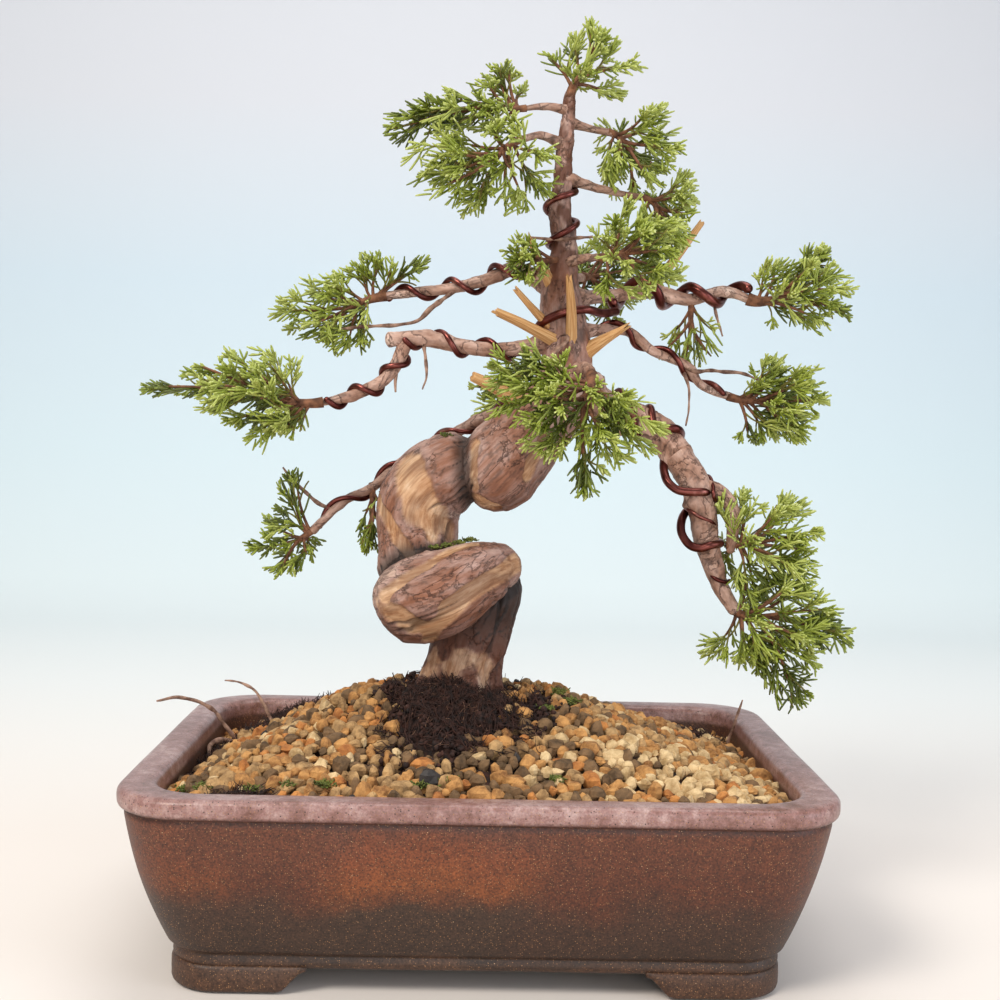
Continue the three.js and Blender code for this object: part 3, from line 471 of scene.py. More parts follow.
def make_mesh(name, points, faces, shades=None, marks=None, smooth=True):
    """Mesh of corners in mm and blocks of faces, with a material number per face and vectors per corner."""
    mesh = bpy.data.meshes.new(name)
    points = points.reshape(-1, 3)
    mesh.vertices.add(len(points))
    mesh.vertices.foreach_set("co", (points * MM + POT_MIDDLE).astype(np.float32).ravel())
    sizes = np.concatenate([np.full(len(block), block.shape[1]) for block in faces])
    corners = np.concatenate([block.ravel() for block in faces])
    mesh.loops.add(len(corners))
    mesh.loops.foreach_set("vertex_index", corners.astype(np.int32))
    mesh.polygons.add(len(sizes))
    mesh.polygons.foreach_set("loop_start", (np.cumsum(sizes) - sizes).astype(np.int32))
    mesh.polygons.foreach_set("use_smooth", np.full(len(sizes), smooth))
    if shades is not None:
        mesh.polygons.foreach_set("material_index", shades.astype(np.int32))
    for mark, values in (marks or {}).items():
        layer = mesh.attributes.new(mark, "FLOAT_VECTOR", "POINT")
        layer.data.foreach_set("vector", values.astype(np.float32).ravel())
    mesh.update()
    mesh.validate()
    return mesh


def in_scene(name, data, materials=()):
    """A new object of the scene, with its data and their materials."""
    thing = bpy.data.objects.new(name, data)
    for surface in materials:
        data.materials.append(surface)
    bpy.context.scene.collection.objects.link(thing)
    return thing


def make_piece(name, points, faces, materials, slot, nodes=(), shades=None, marks=None, smooth=True):
    """A finished piece of the part: it rides on the body and stands for the named solids."""
    piece = in_scene(name, make_mesh(name, points, faces, shades, marks, smooth), materials)
    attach(piece, BODY)
    if nodes:
        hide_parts(*nodes)


# Materials


def linear(hex_colour):
    """Linear red, green, blue and alpha of an sRGB hex colour."""
    values = np.array([int(hex_colour[k : k + 2], 16) for k in (1, 3, 5)]) / 255
    light = np.where(values <= 0.04045, values / 12.92, ((values + 0.055) / 1.055) ** 2.4)
    return (*light.tolist(), 1.0)


def add_node(tree, kind, inputs=None, stops=None, **settings):
    """Outputs of a new node with its settings and ramp stops, its inputs filled with values or links."""
    node = tree.nodes.new(kind)
    for key, value in settings.items():
        setattr(node, key, value)
    if stops:
        ramp = node.color_ramp
        while len(ramp.elements) < len(stops):
            ramp.elements.new(1.0)
        for element, (position, colour) in zip(ramp.elements, stops):
            element.position = position
            element.color = linear(colour)
    for key, value in (inputs or {}).items():
        if isinstance(value, bpy.types.NodeSocket):
            tree.links.new(value, node.inputs[key])
        else:
            node.inputs[key].default_value = value
    return node.outputs


def new_material(name, **settings):
    """A material and its node tree, with sockets of its shader set."""
    surface = bpy.data.materials.new(name)
    surface.use_nodes = True
    shader = surface.node_tree.nodes["Principled BSDF"]
    for key, value in settings.items():
        shader.inputs[key.replace("_", " ")].default_value = value
    return surface, surface.node_tree


def linked(surface, sockets):
    """The material, with node outputs linked to sockets of its shader."""
    tree = surface.node_tree
    for key, output in sockets.items():
        tree.links.new(output, tree.nodes["Principled BSDF"].inputs[key])
    return surface


def bark_material(name, bark, inner, crease):
    """Juniper bark: thin grey flakes over fibrous inner bark, tan and orange where strips came off.

    The corner vector named flow holds the place on the straightened limb, in metres, and bark holds how
    far it is peeled, how dark with painted shade (in creases, in cracks, under flake edges and under the
    coil), and how rust brown, which on undersides is painted shade too.
    """
    surface, tree = new_material(name, Roughness=0.66)
    flow = add_node(tree, "ShaderNodeAttribute", attribute_name="flow")["Vector"]
    state = add_node(tree, "ShaderNodeAttribute", attribute_name="bark")["Vector"]
    masks = add_node(tree, "ShaderNodeSeparateXYZ", {"Vector": state})
    # Fibres 1.4 mm wide and about 13 mm long, and patches about 13 mm wide and 22 mm long.
    fine = add_node(tree, "ShaderNodeVectorMath", {0: flow, 1: (700, 700, 75)}, operation="MULTIPLY")
    broad = add_node(tree, "ShaderNodeVectorMath", {0: flow, 1: (77, 77, 45)}, operation="MULTIPLY")
    fibre = add_node(
        tree, "ShaderNodeTexNoise", {"Vector": fine[0], "Scale": 1.0, "Detail": 3.0, "Roughness": 0.6}
    )[0]
    patch = add_node(
        tree, "ShaderNodeTexNoise", {"Vector": broad[0], "Scale": 1.0, "Detail": 5.0, "Roughness": 0.68}
    )[0]
    outer = add_node(tree, "ShaderNodeValToRGB", {0: patch}, stops=bark)[0]
    streak = add_node(tree, "ShaderNodeMix", {0: 0.3, 2: patch, 3: fibre}, data_type="FLOAT")[0]
    wood = add_node(tree, "ShaderNodeValToRGB", {0: streak}, stops=inner)[0]
    # Flakes about 12 mm wide and 17 mm long: a noise cut into level steps, with painted shade under each
    # lifted edge.
    wide = add_node(tree, "ShaderNodeVectorMath", {0: flow, 1: (85, 85, 60)}, operation="MULTIPLY")
    rise = add_node(
        tree,
        "ShaderNodeTexNoise",
        {"Vector": wide[0], "Scale": 1.0, "Detail": 6.0, "Roughness": 0.62, "Distortion": 0.5},
    )[0]
    level = add_node(tree, "ShaderNodeMath", {0: rise, 1: 4.5}, operation="MULTIPLY")[0]
    step = add_node(tree, "ShaderNodeMath", {0: level}, operation="FRACT")[0]
    lift = add_node(tree, "ShaderNodeMapRange", {"Value": step, "From Max": 0.14})[0]
    base = add_node(tree, "ShaderNodeMath", {0: level}, operation="FLOOR")[0]
    flake = add_node(tree, "ShaderNodeMath", {0: base, 1: lift}, operation="ADD")[0]
    under = add_node(
        tree, "ShaderNodeValToRGB", {0: step}, stops=[(0.0, "#5c4a42"), (0.17, "#e8e2de"), (1.0, "#ffffff")]
    )[0]
    edge_shaded = add_node(
        tree, "ShaderNodeMix", {0: 0.75, 6: outer, 7: under}, data_type="RGBA", blend_type="MULTIPLY"
    )[2]
    skin = add_node(tree, "ShaderNodeMix", {0: masks["X"], 6: edge_shaded, 7: wood}, data_type="RGBA")[2]
    shade = add_node(
        tree, "ShaderNodeValToRGB", {0: fibre}, stops=[(0.3, "#8f8784"), (0.55, "#ffffff")]
    )[0]
    lined = add_node(
        tree, "ShaderNodeMix", {0: 0.4, 6: skin, 7: shade}, data_type="RGBA", blend_type="MULTIPLY"
    )[2]
    # Rust brown by the bark's z, which on undersides is painted shade; then the crease colour by its y:
    # painted shade in creases, in cracks, under flake edges and under the coil.
    rusted_and_shaded = add_node(
        tree, "ShaderNodeMix", {0: masks["Z"], 6: lined, 7: linear("#5a301c")}, data_type="RGBA"
    )[2]
    colour = add_node(
        tree, "ShaderNodeMix", {0: masks["Y"], 6: rusted_and_shaded, 7: linear(crease)}, data_type="RGBA"
    )[2]
    hold = add_node(tree, "ShaderNodeMapRange", {"Value": masks["X"], "To Min": 0.7, "To Max": 0.0})[0]
    flaked = add_node(tree, "ShaderNodeBump", {"Height": flake, "Strength": hold, "Distance": 0.0008})
    bump = add_node(
        tree,
        "ShaderNodeBump",
        {"Height": fibre, "Strength": 0.35, "Distance": 0.0004, "Normal": flaked[0]},
    )
    return linked(surface, {"Base Color": colour, "Normal": bump[0]})


def deadwood_material():
    """Bare juniper wood, torn and dried: straw-coloured fibres with orange streaks and a dull dry surface."""
    surface, tree = new_material("dry juniper wood", Roughness=0.72)
    flow = add_node(tree, "ShaderNodeAttribute", attribute_name="flow")["Vector"]
    # Fibres 0.6 mm wide and 20 mm long.
    fine = add_node(tree, "ShaderNodeVectorMath", {0: flow, 1: (1700, 1700, 50)}, operation="MULTIPLY")
    fibre = add_node(
        tree, "ShaderNodeTexNoise", {"Vector": fine[0], "Scale": 1.0, "Detail": 4.0, "Roughness": 0.65}
    )[0]
    colour = add_node(
        tree,
        "ShaderNodeValToRGB",
        {0: fibre},
        stops=[(0.25, "#875730"), (0.4, "#b9844d"), (0.55, "#d0a26c"), (0.75, "#e6c493")],
    )[0]
    bump = add_node(tree, "ShaderNodeBump", {"Height": fibre, "Strength": 0.6, "Distance": 0.0004})
    return linked(surface, {"Base Color": colour, "Normal": bump[0]})


def stoneware_material():
    """Unglazed stoneware fired in a smoky kiln: orange-brown where the flame reached it, grey-brown below,
    mauve on the lip, red-brown inside, with pale grit, dark iron specks and a faint dry sheen.

    The corner vector named zone is 1 in x on the inner wall.
    """
    surface, tree = new_material("unglazed stoneware", Roughness=0.58)
    place = add_node(tree, "ShaderNodeTexCoord")["Object"]
    zone = add_node(tree, "ShaderNodeAttribute", attribute_name="zone")["Vector"]
    inside = add_node(tree, "ShaderNodeSeparateXYZ", {"Vector": zone})["X"]
    axes = add_node(tree, "ShaderNodeSeparateXYZ", {"Vector": place})
    # Clouds of firing colour 110 mm and 45 mm across, and a mottle of 5 mm.
    broad = add_node(
        tree, "ShaderNodeTexNoise", {"Vector": place, "Scale": 9.0, "Detail": 2.0, "Roughness": 0.5}
    )[0]
    cloud = add_node(
        tree, "ShaderNodeTexNoise", {"Vector": place, "Scale": 22.0, "Detail": 5.0, "Roughness": 0.6}
    )[0]
    mottle = add_node(
        tree, "ShaderNodeTexNoise", {"Vector": place, "Scale": 200.0, "Detail": 5.0, "Roughness": 0.75}
    )[0]
    # Height in the pot from 0 at the table to 1 at the rim, moved up and down by the clouds.
    height = add_node(
        tree, "ShaderNodeMath", {0: axes["Z"], 1: 1 / (POT_HEIGHT * MM)}, operation="MULTIPLY"
    )[0]
    swing = add_node(tree, "ShaderNodeMath", {0: cloud, 1: 0.5}, operation="SUBTRACT")[0]
    wavy = add_node(tree, "ShaderNodeMath", {0: swing, 1: 0.55, 2: height}, operation="MULTIPLY_ADD")[0]
    flame = add_node(
        tree,
        "ShaderNodeValToRGB",
        {0: wavy},
        stops=[
            (0.1, "#5e4231"), (0.17, "#473225"), (0.43, "#4d3526"), (0.5, "#713f23"), (0.58, "#935026"),
            (0.76, "#8c4a29"), (0.88, "#724331"),
        ],
    )[0]
    smoke = add_node(
        tree,
        "ShaderNodeValToRGB",
        {0: wavy},
        stops=[(0.1, "#5c3c28"), (0.17, "#463022"), (0.42, "#4f3223"), (0.58, "#69361f"), (0.88, "#744029")],
    )[0]
    # The flame reached the middle of the long sides, a little to the left.
    aside = add_node(tree, "ShaderNodeMath", {0: axes["X"], 1: 0.035}, operation="ADD")[0]
    reach = add_node(tree, "ShaderNodeMath", {0: aside}, operation="ABSOLUTE")[0]
    away = add_node(tree, "ShaderNodeMath", {0: reach, 1: 3.0, 2: broad}, operation="MULTIPLY_ADD")[0]
    smoky = add_node(
        tree,
        "ShaderNodeMapRange",
        {"Value": away, "From Min": 0.58, "From Max": 0.74},
        interpolation_type="SMOOTHSTEP",
    )[0]
    fired = add_node(tree, "ShaderNodeMix", {0: smoky, 6: flame, 7: smoke}, data_type="RGBA")[2]
    # The lip is worn unevenly: its mauve follows the clouds and the mottle alike.
    worn = add_node(tree, "ShaderNodeMix", {0: 0.5, 2: cloud, 3: mottle}, data_type="FLOAT")[0]
    mauve = add_node(
        tree, "ShaderNodeValToRGB", {0: worn}, stops=[(0.38, "#6f483c"), (0.5, "#96706a"), (0.62, "#b99b95")]
    )[0]
    lip_share = add_node(
        tree,
        "ShaderNodeMapRange",
        {"Value": height, "From Min": 0.895, "From Max": 0.93},
        interpolation_type="SMOOTHSTEP",
    )[0]
    # A dark rust-brown band just under the lip: painted shade in the groove under its overhang.
    groove_shade_share = add_node(
        tree, "ShaderNodeMapRange", {"Value": height, "From Min": 0.86, "From Max": 0.89}
    )[0]
    rust_and_shade = add_node(
        tree, "ShaderNodeMix", {0: groove_shade_share, 6: fired, 7: linear("#5c2f1e")}, data_type="RGBA"
    )[2]
    lined = add_node(
        tree, "ShaderNodeMix", {0: inside, 6: rust_and_shade, 7: linear("#5e3826")}, data_type="RGBA"
    )[2]
    tone = add_node(
        tree, "ShaderNodeValToRGB", {0: mottle}, stops=[(0.3, "#a09892"), (0.68, "#ffffff")]
    )[0]
    toned = add_node(
        tree, "ShaderNodeMix", {0: 0.75, 6: lined, 7: tone}, data_type="RGBA", blend_type="MULTIPLY"
    )[2]
    body = add_node(tree, "ShaderNodeMix", {0: lip_share, 6: toned, 7: mauve}, data_type="RGBA")[2]
    # Sandy grain 0.8 mm wide, then grit in cells of 0.7 mm to 2 mm, a pale or dark speck in some of them.
    sand = add_node(tree, "ShaderNodeTexNoise", {"Vector": place, "Scale": 1200.0, "Detail": 2.0})[0]
    sandy = add_node(
        tree, "ShaderNodeValToRGB", {0: sand}, stops=[(0.35, "#7d6f66"), (0.62, "#ffffff")]
    )[0]
    grainy = add_node(tree, "ShaderNodeMapRange", {"Value": lip_share, "To Min": 0.7, "To Max": 0.3})[0]
    colour = add_node(
        tree, "ShaderNodeMix", {0: grainy, 6: body, 7: sandy}, data_type="RGBA", blend_type="MULTIPLY"
    )[2]
    specks = ((1400.0, 0.34, "#a2764e"), (1000.0, 0.34, "#1d1512"), (500.0, 0.11, "#c9a47e"))
    for scale, width, speck in specks:
        cells = add_node(tree, "ShaderNodeTexVoronoi", {"Vector": place, "Scale": scale})
        near = add_node(
            tree,
            "ShaderNodeMapRange",
            {"Value": cells["Distance"], "From Min": width, "From Max": 0.5 * width},
        )[0]
        chance = add_node(tree, "ShaderNodeSeparateColor", {"Color": cells["Color"]})[0]
        picked_cells = add_node(
            tree, "ShaderNodeMapRange", {"Value": chance, "From Min": 0.6, "From Max": 0.9}
        )[0]
        share = add_node(tree, "ShaderNodeMath", {0: near, 1: picked_cells}, operation="MULTIPLY")[0]
        colour = add_node(
            tree, "ShaderNodeMix", {0: share, 6: colour, 7: linear(speck)}, data_type="RGBA"
        )[2]
    dry = add_node(tree, "ShaderNodeMapRange", {"Value": mottle, "To Min": 0.36, "To Max": 0.66})[0]
    rough = add_node(tree, "ShaderNodeMix", {0: lip_share, 2: dry, 3: 0.34}, data_type="FLOAT")[0]
    bump = add_node(tree, "ShaderNodeBump", {"Height": mottle, "Strength": 0.35, "Distance": 0.0007})
    return linked(surface, {"Base Color": colour, "Roughness": rough, "Normal": bump[0]})


def grain_material(name, dark, light, roughness=0.9):
    """Fired-clay or pumice grit, broken and sieved: one dusty earth colour with pores that catch shade."""
    surface, tree = new_material(name, Roughness=roughness)
    place = add_node(tree, "ShaderNodeTexCoord")["Object"]
    # Pores about 0.7 mm wide.
    pores = add_node(
        tree, "ShaderNodeTexNoise", {"Vector": place, "Scale": 700.0, "Detail": 4.0, "Roughness": 0.65}
    )[0]
    # Patches about 6 mm wide make one grain paler than the next.
    patch = add_node(tree, "ShaderNodeTexNoise", {"Vector": place, "Scale": 170.0, "Detail": 1.0})[0]
    vary = add_node(tree, "ShaderNodeMix", {0: 0.6, 2: pores, 3: patch}, data_type="FLOAT")[0]
    colour = add_node(tree, "ShaderNodeValToRGB", {0: vary}, stops=[(0.36, dark), (0.6, light)])[0]
    bump = add_node(tree, "ShaderNodeBump", {"Height": pores, "Strength": 0.5, "Distance": 0.0005})
    return linked(surface, {"Base Color": colour, "Normal": bump[0]})


def wire_material():
    """Copper-brown anodised aluminium wire: a red-brown film over drawn metal, with soft long highlights."""
    surface, tree = new_material("anodised aluminium wire", Metallic=1.0, Roughness=0.32)
    place = add_node(tree, "ShaderNodeTexCoord")["Object"]
    # Rubbed patches about 8 mm long.
    wear = add_node(tree, "ShaderNodeTexNoise", {"Vector": place, "Scale": 120.0, "Detail": 3.0})[0]
    colour = add_node(
        tree, "ShaderNodeValToRGB", {0: wear}, stops=[(0.35, "#552a27"), (0.6, "#7d4841"), (0.75, "#a87a70")]
    )[0]
    return linked(surface, {"Base Color": colour})


def leaf_material(name, colour):
    """Juniper scale leaves: one plain green with a waxy skin, and small overlapping scales as relief."""
    surface, tree = new_material(name, Base_Color=linear(colour), Roughness=0.42)
    place = add_node(tree, "ShaderNodeTexCoord")["Object"]
    # Scales about 0.9 mm long.
    scales = add_node(tree, "ShaderNodeTexVoronoi", {"Vector": place, "Scale": 1100.0})["Distance"]
    bump = add_node(tree, "ShaderNodeBump", {"Height": scales, "Strength": 0.5, "Distance": 0.0003})
    return linked(surface, {"Normal": bump[0]})


def fibre_material(name, dark, light):
    """Root hair, peat fibre and dry twig: thin dull plant matter in one colour that varies along it."""
    surface, tree = new_material(name, Roughness=0.85)
    place = add_node(tree, "ShaderNodeTexCoord")["Object"]
    # Patches about 3 mm long.
    vary = add_node(tree, "ShaderNodeTexNoise", {"Vector": place, "Scale": 330.0, "Detail": 3.0})[0]
    colour = add_node(tree, "ShaderNodeValToRGB", {0: vary}, stops=[(0.35, dark), (0.65, light)])[0]
    return linked(surface, {"Base Color": colour})


# The crease colour is painted shade: creases between lobes, cracks and lifted flake edges are darkened to it.
TRUNK_BARK = bark_material(
    "flaky juniper bark on the trunk",
    bark=[(0.3, "#643a28"), (0.4, "#8d5c44"), (0.48, "#a07868"), (0.57, "#b59489"), (0.7, "#d8bbaa")],
    inner=[(0.3, "#85502f"), (0.42, "#b08058"), (0.54, "#cca580"), (0.72, "#edd8bf")],
    crease="#22150f",
)
BOUGH_BARK = bark_material(
    "young juniper bark on the boughs",
    bark=[(0.3, "#714c3b"), (0.43, "#a57e6a"), (0.56, "#caa898"), (0.72, "#e8d2c4")],
    inner=[(0.3, "#7c4a2c"), (0.5, "#a8744e"), (0.75, "#cca37c")],
    crease="#33211c",
)
DEADWOOD = deadwood_material()
STONEWARE = stoneware_material()
WIRE = wire_material()
# Greens from painted shade to painted light; a fresh tip takes the next lighter green.
GREENS = [
    leaf_material("shaded juniper green", "#515c18"),
    leaf_material("half-shaded juniper green", "#707d24"),
    leaf_material("juniper green", "#8f9c3a"),
    leaf_material("lit fresh juniper green", "#a3ad53"),
    leaf_material("lit new juniper green", "#bcc47a"),
]
TWIG_BARK = fibre_material("brown twig bark", "#553423", "#8b5d41")
SHOOT_BARK = fibre_material("young green shoot", "#5a4a1c", "#7f7a34")
PEAT_AND_GAP_SHADE = fibre_material("damp peat and painted gap shade", "#170b08", "#3f2116")
ROOT_HAIR = fibre_material("dry root hair", "#4a2b20", "#94705a")
DRY_TWIG = fibre_material("dry bare twig", "#5c4034", "#a88672")
MOSS = fibre_material("cushion moss", "#3f4a1b", "#757c34")
GRAINS = {
    "ochre": grain_material("ochre fired clay", "#7c522b", "#c69256"),
    "orange": grain_material("orange fired clay", "#92592c", "#c58446"),
    "tan": grain_material("tan fired clay", "#735635", "#bd9766"),
    "brown": grain_material("grey-brown fired clay", "#4e3b26", "#7e6142"),
    "pale": grain_material("pale pumice", "#a98a5d", "#e0c394"),
    "charcoal": grain_material("charcoal", "#141110", "#37302d", 0.6),
}
GRAIN_SHARES = {"ochre": 0.37, "orange": 0.1, "tan": 0.29, "brown": 0.15, "pale": 0.08, "charcoal": 0.01}


# Limbs: skins, relief and straightened places

FLOW_SPACING = 0.6
# Sizes in mm of the noises of bark: to the side of a limb, across it and along it.
RIDGE_SIZE = [12, 12, 60]
STRIP_SIZE = [6, 6, 30]
FLAKE_SIZE = [10, 10, 19]
CRACK_SIZE = [6.5, 6.5, 42]
CRACKED_SIZE = [15, 15, 50]
FIBRE_SIZE = [0.9, 0.9, 16]
GRIT_SIZE = [1.6, 1.6, 2.6]


def domed(places, radii, start=True, end=True):
    """Adds half-ball ends to a path: rings r sin a beyond it, with radius r cos a."""
    turn = np.radians([25, 48, 68, 84])
    paths, sizes = [places], [radii]
    if start:
        way = unit(places[0] - places[1])
        paths.insert(0, (places[0] + way * radii[0] * np.sin(turn)[:, None])[::-1])
        sizes.insert(0, (radii[0] * np.cos(turn))[::-1])
    if end:
        way = unit(places[-1] - places[-2])
        paths.append(places[-1] + way * radii[-1] * np.sin(turn)[:, None])
        sizes.append(radii[-1] * np.cos(turn))
    return np.concatenate(paths), np.concatenate(sizes)


def swept(places, radii, sides):
    """Corners of a tube: round each place of a path a ring of its radius, or of a radius for each corner."""
    _, side, across = untwisted(places)
    ring = ring_directions(side, across, sides)
    return places[:, None, :] + np.asarray(radii).reshape(len(places), -1, 1) * ring


def nearest(points, spots):
    """Number of and distance to the nearest spot for each point, a few thousand points at a time."""
    numbers, distances = [], []
    for some in np.array_split(points, max(len(points) // 4000, 1)):
        square = (some**2).sum(1)[:, None] - 2 * some @ spots.T + (spots**2).sum(1)
        number = square.argmin(1)
        numbers.append(number)
        distances.append(np.linalg.norm(some - spots[number], axis=1))
    return np.concatenate(numbers), np.concatenate(distances)


def straightened(points, limbs):
    """Places on straightened limbs: offset to a limb's side, offset across it and length along it.

    Each point takes the limb whose skin is nearest. Also gives that limb's number, the outward direction
    from its middle line, and how much nearer it is than the next limb.
    """
    flows, outward, gaps = [], [], []
    for stations in limbs:
        places, radii, arc = sample_limb(stations, FLOW_SPACING)
        _, side, across = untwisted(places)
        number, distance = nearest(points, places)
        offset = points - places[number]
        flow = [(offset * side[number]).sum(1), (offset * across[number]).sum(1), arc[number]]
        flows.append(np.stack(flow, 1))
        outward.append(unit(offset))
        gaps.append(distance - radii[number])
    gaps = np.array(gaps)
    owner = gaps.argmin(0)
    pick = (owner, np.arange(len(points)))
    ranked = np.sort(gaps, 0)
    return np.array(flows)[pick], owner, np.array(outward)[pick], ranked[1] - ranked[0]


def bark_relief(flow, bias, seed):
    """Height in mm of bark over straightened places, how far it is peeled, and how near an edge or crack, as
    a mask of painted shade.

    Broad ridges run along the limb. Strips of bark have come off where the bias, made uneven by a long
    noise, is high, and curl up a little at the rim. The bark that is left lies in thin flakes: a noise cut
    into level steps with narrow risers. Cracks run along the limb where a long noise passes through zero.
    The wood under it is finely fibrous.
    """
    ridge = layered_noise(flow / RIDGE_SIZE, seed, 2)
    strip = 0.36 * layered_noise(flow / STRIP_SIZE, seed + 10, 3) + bias
    peeled = eased(0.4, 0.68, strip)
    rim = np.clip(1 - np.abs(strip - 0.4) / 0.25, 0, 1) * eased(0.02, 0.2, bias)
    level = 1.7 * layered_noise(flow / FLAKE_SIZE, seed + 20, 4)
    step = level - np.floor(level)
    flake = np.floor(level) + 0.5 + eased(0.0, 0.2, step)
    split = np.abs(layered_noise(flow / CRACK_SIZE, seed + 60, 2))
    cracked = eased(0.0, 0.35, layered_noise(flow / CRACKED_SIZE, seed + 70, 2))
    crack = (1 - eased(0.02, 0.13, split)) * cracked
    edge = np.clip(1 - np.abs(step - 0.06) / 0.1, 0, 1) * (1 - peeled)
    fibre = layered_noise(flow / FIBRE_SIZE, seed + 40, 2)
    grit = layered_noise(flow / GRIT_SIZE, seed + 50, 2)
    kept = (1 - peeled) * (0.5 + 0.4 * flake + 0.14 * grit + 0.3 * rim)
    height = 0.9 * ridge + kept + (0.06 + 0.15 * peeled) * fibre - 1.2 * crack
    return height, peeled, np.maximum.reduce([edge, 0.4 * rim, 1.4 * crack])


def remeshed(points, faces, voxel):
    """One closed skin round overlapping closed meshes, in mm: corners and four-cornered faces on voxels."""
    draft = in_scene("draft", make_mesh("draft", points, faces))
    skin_step = draft.modifiers.new("skin", "REMESH")
    skin_step.mode = "VOXEL"
    skin_step.voxel_size = voxel * MM
    skin = draft.evaluated_get(bpy.context.evaluated_depsgraph_get()).to_mesh()
    corners = np.empty(len(skin.vertices) * 3, np.float32)
    skin.vertices.foreach_get("co", corners)
    loops = np.empty(len(skin.loops), np.int32)
    skin.loops.foreach_get("vertex_index", loops)
    bpy.data.objects.remove(draft)
    return (corners.reshape(-1, 3) - POT_MIDDLE) / MM, loops.reshape(-1, 4)


def relaxed(points, faces, passes):
    """Moves each corner halfway to the middle of its neighbours along face edges, a number of times."""
    start = faces.ravel()
    end = np.roll(faces, -1, 1).ravel()
    edges = np.concatenate([start, end]), np.concatenate([end, start])
    count = np.bincount(edges[0], minlength=len(points))[:, None]
    for _ in range(passes):
        sums = [np.bincount(edges[0], points[edges[1], axis], len(points)) for axis in range(3)]
        points = (points + np.stack(sums, 1) / count) / 2
    return points


def corner_normals(points, faces):
    """Outward direction at each corner: the sum over its faces of the cross of their diagonals."""
    a, b, c, d = (points[faces[:, k]] for k in range(4))
    face = np.cross(c - a, d - b)
    sums = [np.bincount(faces.ravel(), np.repeat(face[:, axis], 4), len(points)) for axis in range(3)]
    return unit(np.stack(sums, 1))


# Trunk

TRUNK_VOXEL = 0.73
TRUNK_PASSES = 6
LOBE_SPACING = 1.5
LOBE_SIDES = 48
ROOT_RIBS = 5
RIB_DEPTH = 0.16
RIB_FADE = 20
# Heights between which the leader turns stringy, and those over which the coil's painted shadow falls on the
# stem.
STRINGY_LEADER = (268, 296)
STEM_SHADOW = (118, 140)

# Strips of the trunk that have lost their bark: half width, how surely they are bare, and places along each.
PEELED_STRIPS = [
    (2.5, 0.95, [[-4, -16.5, 169], [-15, -22.5, 167], [-24, -29, 160], [-33, -28.5, 154], [-41, -25, 148]]),
    (4.2, 1, [[15, -6.5, 161], [7, -20, 158], [-0.5, -27.5, 154], [-7, -32, 150], [-14, -33, 144]]),
    (3.4, 0.95, [[-14, -33, 144], [-20, -28, 135.5], [-23, -21, 130]]),
    (5.5, 0.7, [[-42, -23, 144], [-36, -27, 141], [-29, -28, 136]]),
    (2.8, 0.95, [[-45.5, 3, 186], [-41, -5.5, 177], [-37, -8.5, 170.5], [-32, -13, 165]]),
    (8, 0.82, [[-33, -7.5, 200], [-29, -10, 189], [-25, -9.5, 181], [-20, -8, 175]]),
    (2.5, 0.95, [[-5, -12.5, 212], [-5.5, -15, 202], [-4.5, -14, 195]]),
    (4, 0.85, [[-2, -10, 189], [4, -7, 185.5]]),
    (2.5, 0.9, [[24, -14, 215], [19, -15, 205], [17.5, -14, 199]]),
]
# Pale patches on the front of the stem: half width and places along each.
STEM_PATCHES = [
    (5.5, [[-13, -6.5, 112], [-7, -6.5, 118], [1, -4.5, 115], [3, -4, 109]]),
    (3, [[-23, 0, 112], [-20, -2, 117]]),
]


def line_distance(points, line):
    """Distance of points from a bent line: the least of the distances from its straight lengths."""
    line = np.array(line, float)
    least = np.full(len(points), np.inf)
    for start, end in zip(line[:-1], line[1:]):
        along = end - start
        share = np.clip((points - start) @ along / (along @ along), 0, 1)
        least = np.minimum(least, np.linalg.norm(points - start - share[:, None] * along, axis=1))
    return least


def trunk_lobe(stations, ribs=False):
    """Closed tube along a lobe with round ends. A root flare's ribs, 1 + depth cos 5a, fade upwards."""
    places, radii, _ = sample_limb(stations, LOBE_SPACING)
    places, radii = domed(places, radii)
    fade = np.clip(1 - (places[:, 2] - GROUND) / RIB_FADE, 0, 1) * RIB_DEPTH if ribs else 0 * radii
    angle = round_angles(LOBE_SIDES)
    round_radii = radii[:, None] * (1 + fade[:, None] * np.cos(ROOT_RIBS * angle + 0.7))
    return swept(places, round_radii, LOBE_SIDES), tube_faces(len(places), LOBE_SIDES)


def nearest_radius(points):
    """Radius of the lobe at the sample of the lobes' middle lines that is nearest to each point."""
    places, radii = limb_samples(LOBES.values(), LOBE_SPACING)
    number, _ = nearest(points, places)
    return radii[number]


